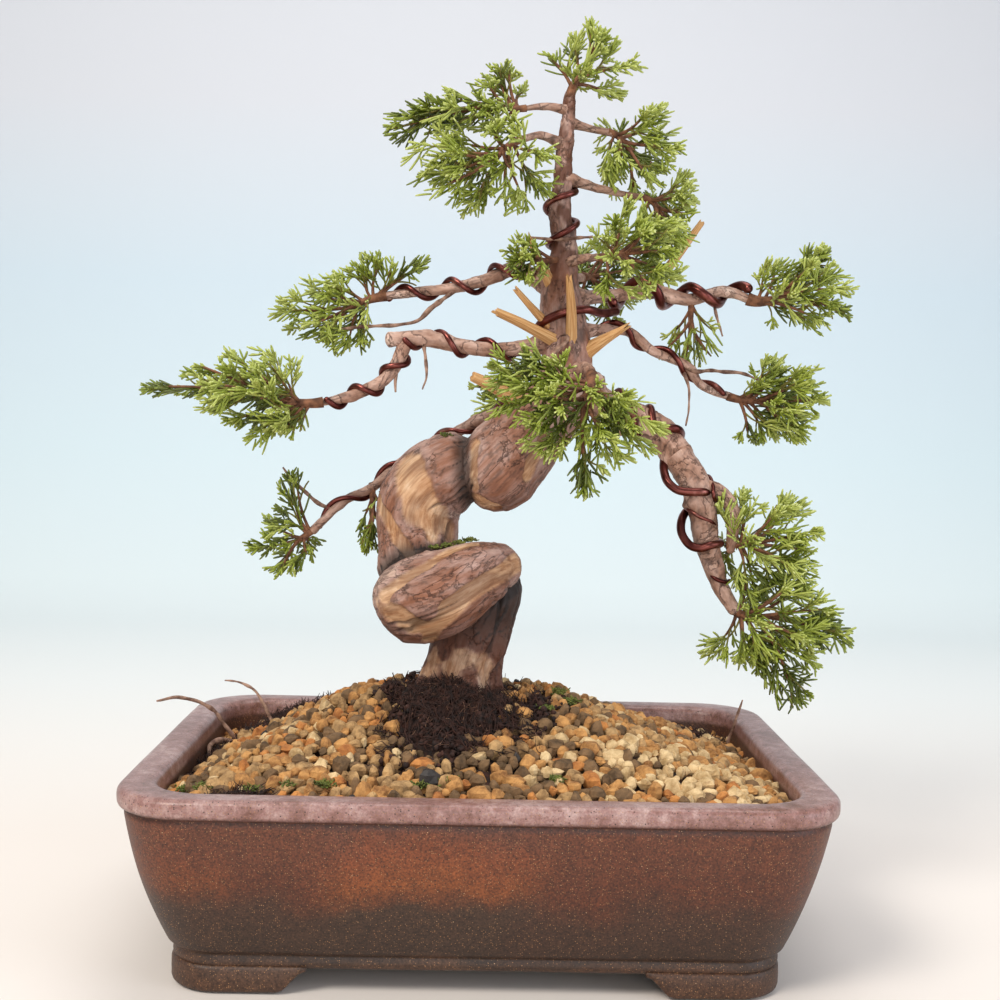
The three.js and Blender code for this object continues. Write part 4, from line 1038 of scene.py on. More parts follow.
def build_trunk():
    """The corkscrew trunk in one skin: lobes merged on voxels, smoothed, then raised by the bark's relief."""
    parts = [trunk_lobe(stations, ribs=name == "stem") for name, stations in LOBES.items()]
    points, faces = remeshed(*joined(parts), TRUNK_VOXEL)
    points = relaxed(points, faces, TRUNK_PASSES)
    flow, owner, outward, lead = straightened(points, LOBES.values())
    bias = np.zeros(len(points))
    for width, strength, line in PEELED_STRIPS:
        bias += strength * (1 - eased(0.5 * width, 1.6 * width, line_distance(points, line)))
    scale = np.clip(nearest_radius(points) / 13, 0.3, 1)
    height, peeled, edge = bark_relief(flow + owner[:, None] * 37, bias, 5)
    on_stem = owner == list(LOBES).index("stem")
    # Where two lobes meet, the skin sinks into a crease, which is also darkened by painted shade.
    crease = 1 - eased(0.5, 6, lead)
    crease *= 1 - 0.9 * (flow[:, 2] > 25) * (owner == list(LOBES).index("leader"))
    # The leader is slimmer than its middle line's radii say, stringy, and rust brown in patches.
    up_leader = eased(*STRINGY_LEADER, points[:, 2])
    strings = layered_noise(points / [2, 2, 6], 31, 3)
    swell = height * scale - 1.5 * crease + up_leader * (0.9 * strings - 0.8)
    points = points + corner_normals(points, faces) * swell[:, None]
    # The stem is rust brown with pale patches low down and a painted shadow under the coil, and undersides
    # get a rust brown that is painted shade.
    wobble = 4 * layered_noise(points / 5, 17, 3)
    patch = np.zeros(len(points))
    for width, line in STEM_PATCHES:
        patch = np.maximum(patch, 1 - eased(0.6 * width, 1.3 * width, line_distance(points, line) + wobble))
    # Rust brown: on the stem outside its pale patches, and on undersides as painted shade.
    tone = on_stem * 0.88 * (1 - patch) + (1 - on_stem) * 0.5 * eased(0.15, 0.9, -outward[:, 2])
    tone = np.maximum(tone, 0.85 * up_leader * eased(-0.35, 0.25, layered_noise(points / 6, 29, 3)))
    pale = 0.65 * on_stem * patch
    shadow = 0.8 * on_stem * eased(*STEM_SHADOW, points[:, 2])
    # Painted shade: in the creases, in cracks and under flake edges, and the coil's shadow on the stem; pale
    # patches take some of it off.
    dark = np.clip(0.85 * crease + 0.6 * np.minimum(edge, 1) + shadow, 0, 1)
    dark = dark * (1 - 0.6 * on_stem * patch)
    stain = 0.5 * eased(-0.1, 0.5, layered_noise(flow / [5, 5, 26], 23, 3)) * peeled
    rust_and_shade = np.clip(np.maximum(tone * (1 - peeled), stain), 0, 0.9)
    state = np.stack([np.maximum(0.92 * peeled, pale), dark, rust_and_shade], 1)
    make_piece(
        "trunk_bark_skin", points, [faces], [TRUNK_BARK], "trunk_bark", ["trunk"],
        marks={"flow": flow * MM, "bark": state},
    )


# Boughs, deadwood and wire

BOUGH_SIDES = 28
BOUGH_SPACING = 0.9
STUB_SIDES = 22
STUB_SPACING = 0.8
TWIG_TUBE_SIDES = 8
TWIG_SPACING = 1.2
# Share of its stations' radii that a bough has, for most boughs and for those that differ.
BOUGH_TRIM = 0.6
BOUGH_TRIMS = {
    "lower_left": 0.7, "left_middle_inner": 0.57, "left_middle_outer": 0.62, "left_upper": 0.57,
    "right_middle": 0.54, "cascade_inner": 0.92, "cascade_outer": 0.92, "cascade_side": 0.95,
}
KNOT_SPACING = 11
KNOT_LENGTH = 2.6
KNOT_HEIGHT = 0.38
COLLAR_FLARE = 0.5
COLLAR_REACH = 4


def trunk_gap(points):
    """Distance from points to the trunk's skin, less than zero inside it."""
    gaps = []
    for stations in LOBES.values():
        places, radii, _ = sample_limb(stations, LOBE_SPACING)
        number, distance = nearest(points, places)
        gaps.append(distance - radii[number])
    return np.min(gaps, 0)


def build_bough(name, stations, seed, nodes):
    """A bough: a tube with a collar that flares where it leaves the trunk, knots of old side twigs, and bark.

    Its radius is r (1 + 0.5 exp(-gap / 4)) plus a bell for each knot on one side, plus the bark's relief.
    """
    rng = np.random.default_rng(seed)
    places, radii, _ = sample_limb(stations, BOUGH_SPACING)
    collar = 1 + COLLAR_FLARE * np.exp(-np.maximum(trunk_gap(places), 0) / COLLAR_REACH)
    radii = BOUGH_TRIMS.get(name, BOUGH_TRIM) * radii * collar
    places, radii = domed(places, radii, start=False)
    arc = lengths_along(places)
    angle = round_angles(BOUGH_SIDES)
    round_radii = np.repeat(radii[:, None], BOUGH_SIDES, 1)
    knots = rng.uniform(0, arc[-1], int(arc[-1] / KNOT_SPACING) + 1)
    for spot, side in zip(knots, rng.uniform(0, 2 * np.pi, len(knots))):
        bell = np.exp(-(((arc - spot) / KNOT_LENGTH) ** 2))[:, None] * np.exp(4 * (np.cos(angle - side) - 1))
        round_radii = round_radii + KNOT_HEIGHT * radii[:, None] * bell
    flow = np.empty((len(places), BOUGH_SIDES, 3))
    flow[..., 0] = radii[:, None] * np.cos(angle)
    flow[..., 1] = radii[:, None] * np.sin(angle)
    flow[..., 2] = arc[:, None]
    height, peeled, edge = bark_relief((flow + seed * 53) * [2, 2, 1.8], 0 * flow[..., 0], seed)
    share = np.clip(radii / 6.5, 0.25, 0.9)[:, None]
    points = swept(places, round_radii + share * height, BOUGH_SIDES)
    # Painted shade under flake edges and curled rims, and in cracks.
    state = np.stack([peeled, 0.6 * np.minimum(edge, 1), np.zeros_like(peeled)], -1)
    make_piece(
        f"bough_bark_{name}", points, tube_faces(len(places), BOUGH_SIDES), [BOUGH_BARK], "bough_bark",
        nodes, marks={"flow": flow * MM, "bark": state},
    )


def build_stub(name, stations, seed):
    """A dead stub: a fluted tube whose fibres end at uneven lengths, closed by a ring sunk in its end."""
    rng = np.random.default_rng(seed)
    places, radii, arc = sample_limb(stations, STUB_SPACING)
    _, side, across = untwisted(places)
    angle = round_angles(STUB_SIDES)
    circle = np.stack([np.cos(angle), np.sin(angle), np.zeros(STUB_SIDES)], 1)
    torn = rng.uniform(0, 1, STUB_SIDES) ** 1.5 * 0.5
    torn = torn + 0.5 * eased(-0.6, 0.6, smooth_noise(circle * 1.4, seed))
    reach = 1 - SPLINTERS[name] * torn / arc[-1]
    steps = np.linspace(0, 1, len(places))
    share = steps[:, None] * reach
    spine = np.stack([np.interp(share, steps, places[:, k]) for k in range(3)], -1)
    size = np.interp(share, steps, radii)
    flow = circle * size[..., None] + np.stack([0 * share, 0 * share, share * arc[-1]], -1)
    flute = layered_noise((flow + seed * 31) / [1.3, 1.3, 30], seed, 2)
    size = (1.02 - 0.34 * share) * size * (1 + 0.2 * flute)
    ring = ring_directions(side, across, STUB_SIDES)
    points = spine + size[..., None] * ring
    heading = unit(places[-1] - places[-2])
    sunk = spine[-1] + 0.35 * size[-1][:, None] * ring[-1] - heading * 0.8
    points = np.concatenate([points, sunk[None]])
    flow = np.concatenate([flow, flow[-1:] * [0.4, 0.4, 1]])
    make_piece(
        f"torn_wood_{name}", points, tube_faces(len(places) + 1, STUB_SIDES), [DEADWOOD], "deadwood",
        [f"deadwood_{name}"], marks={"flow": flow * MM},
    )


def helix(stations, wire, trim, seed):
    """Middle line and radius of a wire wound on a limb: the limb's radius plus the wire's, turned steadily.

    The turn grows with the length along the limb. Some loops stand off the limb by a slow noise.
    """
    low, high, turns, radius, first_turn, loose = wire
    last = len(stations) - 1
    shares = np.linspace(low / last, high / last, int(turns * HELIX_STEPS))
    places, radii = along_limb(stations, shares)
    _, side, across = untwisted(places)
    arc = lengths_along(places)
    turn = turns * arc / arc[-1]
    angle = 2 * np.pi * (turn + first_turn)
    slow = line_noise(turn * 0.9, seed)
    reach = (radii * trim * 1.05 + radius * 0.9) * (1 + loose * np.maximum(0.3 + slow, 0))
    out = side * np.cos(angle)[:, None] + across * np.sin(angle)[:, None]
    return places + reach[:, None] * out, radius


# Bare and dry twigs: stations x, y, z and radius from the limb or the soil that holds them.
BARE_TWIGS = {
    "across_trunk": [[44, -8, 302, 0.6], [36, -5.6, 301, 0.8], [28, -5.2, 300.5, 0.8], [17, -4, 301.5, 0.6]],
    "at_junction": [[35, -5, 264, 1.2], [33, -9, 257, 1.2], [28.7, -11, 251.8, 1.1], [24, -12, 248, 0.8]],
    "left_middle_dead": [[-27.5, -6, 254, 0.9], [-26.6, -9, 242.3, 0.7], [-27.7, -10, 234.5, 0.4]],
    "left_middle_short": [[-39.5, -8, 245, 0.8], [-39.4, -9, 240, 0.7], [-39.7, -10, 233.4, 0.4]],
    "left_upper_side": [
        [-16, 17.5, 280, 1.1], [-26, 14, 271.5, 1], [-32.6, 10, 265, 0.9], [-52, 9, 263, 0.8],
        [-66, 10, 260.5, 0.6],
    ],
    "lower_left_side": [
        [-67, 12, 181, 1], [-74.4, 11, 184, 0.9], [-80, 9, 189, 0.8], [-85.4, 7, 195, 0.6],
        [-89, 6, 200, 0.4],
    ],
    "right_lower_dead": [[87.3, 12.5, 247, 0.8], [90, 9, 235.6, 0.6], [88.4, 8, 222, 0.35]],
    "right_lower_side": [
        [86, 12.6, 249.8, 1], [91.3, 11, 246.6, 0.9], [103.4, 11, 246.6, 0.8], [113.6, 11, 245.9, 0.7],
        [123.6, 11, 241.7, 0.5],
    ],
    "right_middle_dead": [[100.5, 19, 281, 0.8], [102.5, 18, 270.6, 0.6], [105.5, 18, 262.2, 0.4]],
    "soil_left": [
        [-112, 42, 66, 0.9], [-118, 40, 75, 1], [-128.6, 38, 87, 1], [-140, 36, 90.6, 0.8],
        [-150, 34, 89.4, 0.4],
    ],
    "soil_left_back": [
        [-92, 43, 68, 0.8], [-98, 45, 78, 0.9], [-103.5, 47, 87.7, 0.8], [-112, 50, 94.7, 0.7],
        [-122, 52, 96, 0.4],
    ],
    "soil_right": [[119, 57, 64, 0.9], [122, 58, 72, 0.9], [124, 58, 79, 0.7], [128, 59, 89.6, 0.4]],
    "soil_root": [[-122, 14, 66, 0.8], [-123, 24, 71, 1.3], [-119, 34, 71, 1.3], [-112, 42, 66, 0.9]],
}


def build_bare_twigs():
    """Dry twigs as thin knotty tubes through their stations, all in one piece."""
    parts = []
    for seed, stations in enumerate(BARE_TWIGS.values()):
        places, radii, arc = sample_limb(stations, TWIG_SPACING)
        knotty = 1 + 0.3 * line_noise(arc / 3, KNOT_SEED + seed)
        stray = np.stack([line_noise(arc / 7, STRAY_SEED + seed, lane) for lane in range(3)], 1)
        corners = swept(places + 0.5 * stray, radii * knotty, TWIG_TUBE_SIDES)
        parts.append((corners, tube_faces(len(places), TWIG_TUBE_SIDES)))
    make_piece("bare_twigs", *joined(parts), [DRY_TWIG], "bough_bark")


# Moss: tufts in the trunk's grooves, x, y, z and reach, and on the soil, x, y and reach.
TRUNK_MOSS = [
    [-21, -13.5, 167.5, 2.4], [-16, -14, 168.5, 2.8], [-11, -12.5, 169.5, 3], [-6.5, -10, 170.5, 3.2],
    [-18, -3, 215.5, 3],
]
SOIL_MOSS = [
    [-116, -62, 4], [-108, -66, 5], [-88, -74, 4], [-74, -72, 4], [-60, -74, 4.5], [-23, -76, 5],
    [-12, -72, 4], [40, 4, 5], [34, 10, 5], [28, -14, 4], [30, -70, 3.5],
]
MOSS_BLADES = 90
BLADE_RINGS = 3
BLADE_SIDES = 4


def build_moss():
    """Moss: round tufts of short blades that fan out from a spot by random directions, mostly upwards."""
    rng = np.random.default_rng(MOSS_SEED)
    soil_spots = np.array(SOIL_MOSS, float)
    height = soil_height(soil_spots[:, 0], soil_spots[:, 1]) - 0.5
    spots = np.concatenate([TRUNK_MOSS, np.column_stack([soil_spots[:, :2], height, soil_spots[:, 2]])])
    number = np.repeat(np.arange(len(spots)), MOSS_BLADES)
    way = unit(rng.normal(size=(len(number), 3)) * [1, 1, 0.6] + [0, -0.3, 0.5])
    start = spots[number, :3] + rng.normal(0, 0.4, (len(number), 3)) * spots[number, 3:] * [1, 1, 0.25]
    length = rng.uniform(0.25, 0.5, (len(number), 1)) * spots[number, 3:]
    share = np.linspace(0, 1, BLADE_RINGS)[None, :, None]
    paths = start[:, None] + way[:, None] * length[:, None] * share
    radii = rng.uniform(0.25, 0.45, (len(number), 1)) * np.array([1, 0.9, 0.3])
    points = many_tubes(paths, radii, BLADE_SIDES)
    make_piece("moss_tufts", points, tube_faces(BLADE_RINGS, BLADE_SIDES, len(number)), [MOSS], "soil")


def build_wire(name, wound, nodes):
    """Round wire with domed ends along each path of a list of paths and radii."""
    parts = []
    for path, radius in wound:
        path, radii = domed(path, np.full(len(path), radius))
        parts.append((swept(path, radii, WIRE_SIDES), tube_faces(len(path), WIRE_SIDES)))
    make_piece(f"wound_wire_{name}", *joined(parts), [WIRE], "training_wire", nodes)


def wire_path(places):
    """Smooth middle line of a wire through places."""
    path, _ = along_limb([[*place, 0] for place in places], np.linspace(0, 1, WIRE_STEPS * len(places)))
    return path


# Pot

CORNER_STEPS = 14
SIDE_STEPS = 40
WALL_ROWS = 18


def rim_outline(inset):
    """Rounded rectangle at an inset from the rim, anticlockwise: (..., steps, 2), straight sides and arcs."""
    inset = np.asarray(inset, float)[..., None]
    corner = POT_CORNER - CORNER_TIGHTENING * inset
    half_x = POT_WIDTH / 2 - inset - corner
    half_y = POT_DEPTH / 2 - inset - corner
    arc = np.linspace(0, np.pi / 2, CORNER_STEPS + 1)
    slide = np.linspace(-1, 1, SIDE_STEPS + 1)[1:-1]
    parts = []
    for quarter in range(4):
        angle = arc + quarter * np.pi / 2
        sign_x = (1, -1, -1, 1)[quarter]
        sign_y = (1, 1, -1, -1)[quarter]
        parts.append((sign_x * half_x + corner * np.cos(angle), sign_y * half_y + corner * np.sin(angle)))
        run_x = sign_x * half_x + corner * np.cos(angle[-1:]) + 0 * slide
        run_y = sign_y * half_y + corner * np.sin(angle[-1:]) + 0 * slide
        if quarter % 2 == 0:
            run_x = -slide * sign_x * half_x + corner * np.cos(angle[-1:])
        else:
            run_y = -slide * sign_y * half_y + corner * np.sin(angle[-1:])
        parts.append((run_x, run_y))
    return np.stack([np.concatenate([part[axis] for part in parts], -1) for axis in range(2)], -1)


def rounded_corners(profile, steps=5):
    """Points of a profile, each corner x, z and r a quadratic curve between spots r away on its two sides."""
    profile = np.array(profile, float)
    spots = profile[:, :2]
    share = np.linspace(0, 1, steps)[:, None]
    points = [spots[:1]]
    for before, (x, z, r), after in zip(spots[:-2], profile[1:-1], spots[2:]):
        corner = np.array([x, z])
        enter = corner + unit(before - corner) * min(r, np.linalg.norm(before - corner) * 0.49)
        leave = corner + unit(after - corner) * min(r, np.linalg.norm(after - corner) * 0.49)
        points.append(bezier(enter, corner, leave, share))
    points.append(spots[-1:])
    return np.concatenate(points)


def wall_inset(height):
    """Inset of the outer wall: from the lip's overhang to the full inset at the base, with a bowed drop."""
    top = POT_HEIGHT - LIP_HEIGHT
    drop = (top - height) / (top - BASE_HEIGHT)
    bowed = (1 - WALL_BOW_SHARE) * drop + WALL_BOW_SHARE * np.maximum(drop, 0) ** WALL_BOW
    return LIP_OVERHANG + (WALL_INSET - LIP_OVERHANG) * bowed


def build_pot():
    """The pot: a profile carried round a rounded rectangle, with a belt at its base and four bracket feet."""
    lip_low = POT_HEIGHT - LIP_HEIGHT
    wall_heights = np.linspace(BELT_TOP + 3, lip_low - 2.5, WALL_ROWS)
    wall = np.stack([wall_inset(wall_heights), wall_heights, np.full(WALL_ROWS, 1.0)], 1)
    profile = [
        [60, BASE_HEIGHT, 0],
        [BELT_INSET + 1.5, BASE_HEIGHT, 1.5],
        [BELT_INSET, BELT_TOP - 2.5, 2],
        [BELT_INSET + 0.4, BELT_TOP, 1.4],
        [wall_inset(BELT_TOP) + 1.2, BELT_TOP + 1, 1],
        *wall.tolist(),
        [wall_inset(lip_low) + 1.0, lip_low - 0.3, 0.6],
        [0.2, lip_low + 0.8, 2.2],
        [0, POT_HEIGHT, LIP_ROUND],
        [LIP_WIDTH, POT_HEIGHT - 0.3, LIP_ROUND],
        [LIP_WIDTH + 1.5, lip_low - 8, 2],
        [wall_inset(45) + WALL_THICKNESS, 45, 0],
    ]
    section = rounded_corners(profile)
    outline = rim_outline(section[:, 0])
    points = np.concatenate([outline, np.repeat(section[:, None, 1:], outline.shape[1], 1)], -1)
    # Hand-made unevenness: the wall swells and dips by up to half a millimetre over 40 mm.
    swell = smooth_noise(points / 40, 71) * 0.5
    points = points * (1 + (swell / POT_WIDTH * 2)[..., None] * [1, 1, 0])
    parts = [(points, tube_faces(len(section), outline.shape[1]))]
    parts += [bracket_foot(sign_x, sign_y) for sign_x in (1, -1) for sign_y in (1, -1)]
    points, faces = joined(parts)
    low_inside = len(section) - np.argmax(section[::-1, 1] > POT_HEIGHT - LIP_ROUND)
    zone = np.zeros((len(points), 3))
    zone[low_inside * outline.shape[1] : len(section) * outline.shape[1], 0] = 1
    make_piece("pot_stoneware", points, faces, [STONEWARE], "pot", ["pot"], marks={"zone": zone})


def bracket_foot(sign_x, sign_y):
    """A foot: a rounded block section carried round a corner, its underside rising in an S at both ends."""
    inset = BELT_INSET - 0.3
    corner = POT_CORNER - CORNER_TIGHTENING * inset
    middle = np.array([POT_WIDTH / 2 - inset - corner, POT_DEPTH / 2 - inset - corner])
    reach = corner - FOOT_WIDTH / 2
    run_x = np.linspace(FOOT_LENGTH_X - corner, 0, 16)[:-1]
    run_y = np.linspace(0, FOOT_LENGTH_Y - corner, 16)[1:]
    arc = np.linspace(np.pi / 2, 0, 12)
    path = np.concatenate(
        [
            np.stack([middle[0] - run_x, 0 * run_x + middle[1] + reach], 1),
            middle + reach * np.stack([np.cos(arc), np.sin(arc)], 1),
            np.stack([0 * run_y + middle[0] + reach, middle[1] - run_y], 1),
        ]
    )
    length = lengths_along(path)
    to_end = np.minimum(length, length[-1] - length)
    low = (BASE_HEIGHT - 0.6) * (1 - eased(0, FOOT_END, to_end))
    heading = unit(np.gradient(path, axis=0))
    out = np.stack([-heading[:, 1], heading[:, 0]], 1)
    angle = round_angles(FOOT_SIDES)
    circle = np.stack([np.cos(angle), np.sin(angle)], 1)
    square = np.abs(circle) ** FOOT_SQUARENESS * np.sign(circle).round()
    top = BASE_HEIGHT + 1.5
    centre_z = (top + low)[:, None] / 2
    points = np.empty((len(path), FOOT_SIDES, 3))
    points[..., :2] = path[:, None] + out[:, None] * (square[:, :1] * FOOT_WIDTH / 2)
    points[..., 2] = centre_z + square[:, 1] * (top - low)[:, None] / 2
    points *= [sign_x, sign_y, 1]
    if sign_x * sign_y > 0:
        points = points[:, ::-1]
    return points, tube_faces(len(path), FOOT_SIDES)


# Soil

MOUND_RINGS = 36
MOUND_ROWS = 26
MOUND_BOTTOM = 46.0


def wall_gap(x, y):
    """Distance of places from the pot's inner wall, a rounded rectangle: more than zero inside it."""
    over_x = np.abs(x) - (POT_WIDTH / 2 - SOIL_INSET - SOIL_CORNER)
    over_y = np.abs(y) - (POT_DEPTH / 2 - SOIL_INSET - SOIL_CORNER)
    outside = np.hypot(np.maximum(over_x, 0), np.maximum(over_y, 0))
    return SOIL_CORNER - outside - np.minimum(np.maximum(over_x, over_y), 0)


def mound_grid():
    """The mound's own places and heights: lines from the rim to the top ellipse, by share and angle.

    The height goes from the edge's to the ground's by a power of the share. The edge is higher at the front
    and the right.
    """
    rim = rim_outline(0)
    angle = np.arctan2(rim[:, 1], rim[:, 0])
    share = np.linspace(0, 1, MOUND_ROWS)[:, None]
    top_x = SOIL_MIDDLE[0] + SOIL_TOP_LENGTH / 2 * np.cos(angle)
    top_y = SOIL_MIDDLE[1] + SOIL_TOP_DEPTH / 2 * np.sin(angle)
    edge = SOIL_EDGE + SOIL_FRONT_RISE * np.maximum(-np.sin(angle), 0)
    edge = edge + SOIL_RIGHT_RISE * np.maximum(np.cos(angle), 0) ** 2
    rise = share**SOIL_STEEPENING
    x = (1 - share) * rim[:, 0] + share * top_x
    y = (1 - share) * rim[:, 1] + share * top_y
    return np.stack([x, y], -1).reshape(-1, 2), ((1 - rise) * edge + rise * GROUND).ravel()


MOUND_SPOTS, MOUND_HEIGHTS = mound_grid()


def soil_height(x, y):
    """Height of the soil at places: the nearest spot's of the mound's grid, or the ground's on its top."""
    places = np.stack([x, y], -1).reshape(-1, 2)
    number, _ = nearest(places, MOUND_SPOTS)
    on_top = np.hypot(
        (places[:, 0] - SOIL_MIDDLE[0]) / SOIL_TOP_LENGTH, (places[:, 1] - SOIL_MIDDLE[1]) / SOIL_TOP_DEPTH
    )
    height = np.where(on_top < 0.5, GROUND, MOUND_HEIGHTS[number])
    return height.reshape(np.shape(x))


def peat_shares(x, y):
    """How far places lie in each patch of peat: above 0 inside an ellipse with a wavy edge."""
    wavy = 0.5 * layered_noise(np.stack([x / 15, y / 15, 0 * x], -1), 91, 3)
    return np.array(
        [
            1 - np.hypot((x - middle_x) / reach_x, (y - middle_y) / reach_y) + wavy
            for middle_x, middle_y, reach_x, reach_y, _ in PEAT_PATCHES
        ]
    )


def peat_height(x, y):
    """Height of the peat: the soil's, heaped up towards the middle of each patch."""
    heaps = [patch[4] * eased(0.05, 0.75, share) for patch, share in zip(PEAT_PATCHES, peat_shares(x, y))]
    return soil_height(x, y) - 1.5 + np.max(heaps, 0)


def build_mound():
    """The body of the soil: rings from the inner wall to the middle, just under the grains, closed below.
    Its dark peat colour is peat in the patches, and painted shade in the gaps between grains elsewhere.
    """
    rim = rim_outline(SOIL_INSET)
    share = np.linspace(1, 0.01, MOUND_RINGS)[:, None, None]
    spots = rim * share + np.array(SOIL_MIDDLE) * (1 - share)
    x, y = spots[..., 0], spots[..., 1]
    height = np.maximum(soil_height(x, y) - SOIL_SINK, peat_height(x, y) - SOIL_SINK)
    height = height + layered_noise(np.stack([x, y, 0 * x], -1) / 6, 81, 3)
    under = np.concatenate([rim * 0.88, np.full((len(rim), 1), MOUND_BOTTOM)], 1)
    points = np.concatenate([under[None], np.concatenate([spots, height[..., None]], -1)])
    make_piece("soil_mound", points, tube_faces(MOUND_RINGS + 1, len(rim)), [PEAT_AND_GAP_SHADE], "soil", ["soil"])


def broken_grains(places, sizes, seed):
    """Corners of broken grains: along each direction the distance to a random softened polyhedron.

    The distance is (sum of (direction . normal / depth)^36)^(-1/36) over eight random faces, stretched
    a little.
    """
    rng = np.random.default_rng(seed)
    polar = np.radians(np.linspace(18, 162, GRAIN_ROWS))[::-1, None]
    turn = round_angles(GRAIN_SIDES)
    way = np.stack(
        [np.sin(polar) * np.cos(turn), np.sin(polar) * np.sin(turn), np.cos(polar) + 0 * turn], -1
    ).reshape(-1, 3)
    count = len(places)
    normals = unit(rng.normal(size=(count, GRAIN_FACES, 3)))
    depth = rng.uniform(0.6, 1.05, (count, GRAIN_FACES))
    facing = np.maximum(np.einsum("vk,gpk->gvp", way, normals), 0) / depth[:, None, :]
    total = np.maximum((facing**GRAIN_SHARPNESS).sum(-1), 1e-9)
    reach = np.minimum(1 / total ** (1 / GRAIN_SHARPNESS), 1.25)
    stretch = rng.uniform(0.75, 1.25, (count, 1, 3))
    points = places[:, None] + (sizes / 2)[:, None, None] * reach[..., None] * way * stretch
    return points, tube_faces(GRAIN_ROWS, GRAIN_SIDES, count)


def settled(places, sizes):
    """Grain places pushed apart sideways, a few times, where they overlap by over a tenth of their size."""
    for _ in range(GRAIN_PUSHES):
        gap = places[:, None] - places
        distance = np.linalg.norm(gap, axis=2) + 1e-6
        overlap = np.maximum(0.45 * (sizes[:, None] + sizes) - distance, 0)
        np.fill_diagonal(overlap, 0)
        places = places + 0.4 * (gap / distance[..., None] * overlap[..., None]).sum(1)
    return places


def patch_share(places, patch):
    """Share dealt to a patch at places: its strength times a bell over x and y."""
    middle_x, middle_y, reach_x, reach_y, strength = patch
    across = ((places[:, 0] - middle_x) / reach_x) ** 2
    return strength * np.exp(-across - ((places[:, 1] - middle_y) / reach_y) ** 2)


def build_grains():
    """Soil grains in two layers over the mound, dealt to colours by chance, paler at the front right.

    Most of the lower layer is brown, as painted shade in the gaps between the upper grains.
    """
    rng = np.random.default_rng(GRAIN_SEED)
    reach_x = POT_WIDTH / 2 - SOIL_INSET
    reach_y = POT_DEPTH / 2 - SOIL_INSET
    layers = []
    for sink in GRAIN_LAYER_SINKS:
        grid_x, grid_y = np.meshgrid(
            np.arange(-reach_x, reach_x, GRAIN_SPACING), np.arange(-reach_y, reach_y, GRAIN_SPACING)
        )
        grid_x[1::2] += GRAIN_SPACING / 2
        jitter = rng.uniform(-GRAIN_JITTER, GRAIN_JITTER, (grid_x.size, 2))
        spots = np.stack([grid_x.ravel(), grid_y.ravel()], 1) + jitter
        sizes = GRAIN_SIZE * rng.lognormal(0, GRAIN_SIZE_SPREAD, len(spots))
        spots = settled(spots, sizes)
        x, y = spots.T
        clear = wall_gap(x, y) > 0.3 * sizes
        clear &= peat_shares(x, y).max(0) < rng.uniform(-0.2, 0.4, x.size)
        x, y, sizes = x[clear], y[clear], sizes[clear]
        z = soil_height(x, y) - sizes * rng.uniform(0.15, 0.5, x.size) - sink
        layers.append((np.stack([x, y, z], 1), sizes))
    places = np.concatenate([layer[0] for layer in layers])
    sizes = np.concatenate([layer[1] for layer in layers])
    chance = rng.uniform(0, 1, len(places))
    pale = rng.uniform(0, 1, len(places)) < patch_share(places, PALE_PATCH)
    chance = np.where(pale, PALE_CHANCE, chance)
    lower = np.arange(len(places)) >= len(layers[0][1])
    lower &= rng.uniform(0, 1, len(places)) < LOWER_SHADE_SHARE
    chance = np.where(lower, BROWN_CHANCE, chance)
    # Damp, brown grains lie thicker in front of the trunk.
    damp = rng.uniform(0, 1, len(places)) < patch_share(places, DAMP_PATCH)
    chance = np.where(damp, BROWN_CHANCE, chance)
    kinds = np.searchsorted(np.cumsum(list(GRAIN_SHARES.values())), chance)
    for number, kind in enumerate(GRAIN_SHARES):
        some = np.minimum(kinds, len(GRAIN_SHARES) - 1) == number
        points, faces = broken_grains(places[some], sizes[some], GRAIN_SHAPE_SEED + number)
        make_piece(f"grains_{kind}", points, faces, [GRAINS[kind]], "soil", smooth=False)


def build_peat():
    """Peat round the trunk: dark crumbs, with fibres and root hairs over them as thin bent threads."""
    rng = np.random.default_rng(PEAT_SEED)
    reach = np.array([POT_WIDTH / 2 - SOIL_INSET, POT_DEPTH / 2 - SOIL_INSET])
    spots = rng.uniform(-1, 1, (PEAT_SPOTS, 2)) * reach
    inside = wall_gap(*spots.T) > 1
    spots = spots[inside & (peat_shares(*spots.T).max(0) > rng.uniform(-0.1, 0.3, len(spots)))]
    sizes = rng.uniform(*PEAT_CRUMB_SIZES, len(spots))
    places = np.column_stack([spots, peat_height(*spots.T) + rng.uniform(-1.2, 0.9, len(spots))])
    make_piece("peat_crumbs", *broken_grains(places, sizes, PEAT_SEED + 1), [PEAT_AND_GAP_SHADE], "soil")
    hairs = threads(ROOT_HAIRS, PEAT_SEED + 2, radius_range=(0.08, 0.17), length_range=(5, 13), stand=1.5)
    make_piece("root_hairs", *hairs, [ROOT_HAIR], "soil")
    fibres = threads(PEAT_FIBRES, PEAT_SEED + 3, radius_range=(0.12, 0.34), length_range=(3, 9), stand=5)
    make_piece("peat_fibres", *fibres, [PEAT_AND_GAP_SHADE], "soil")


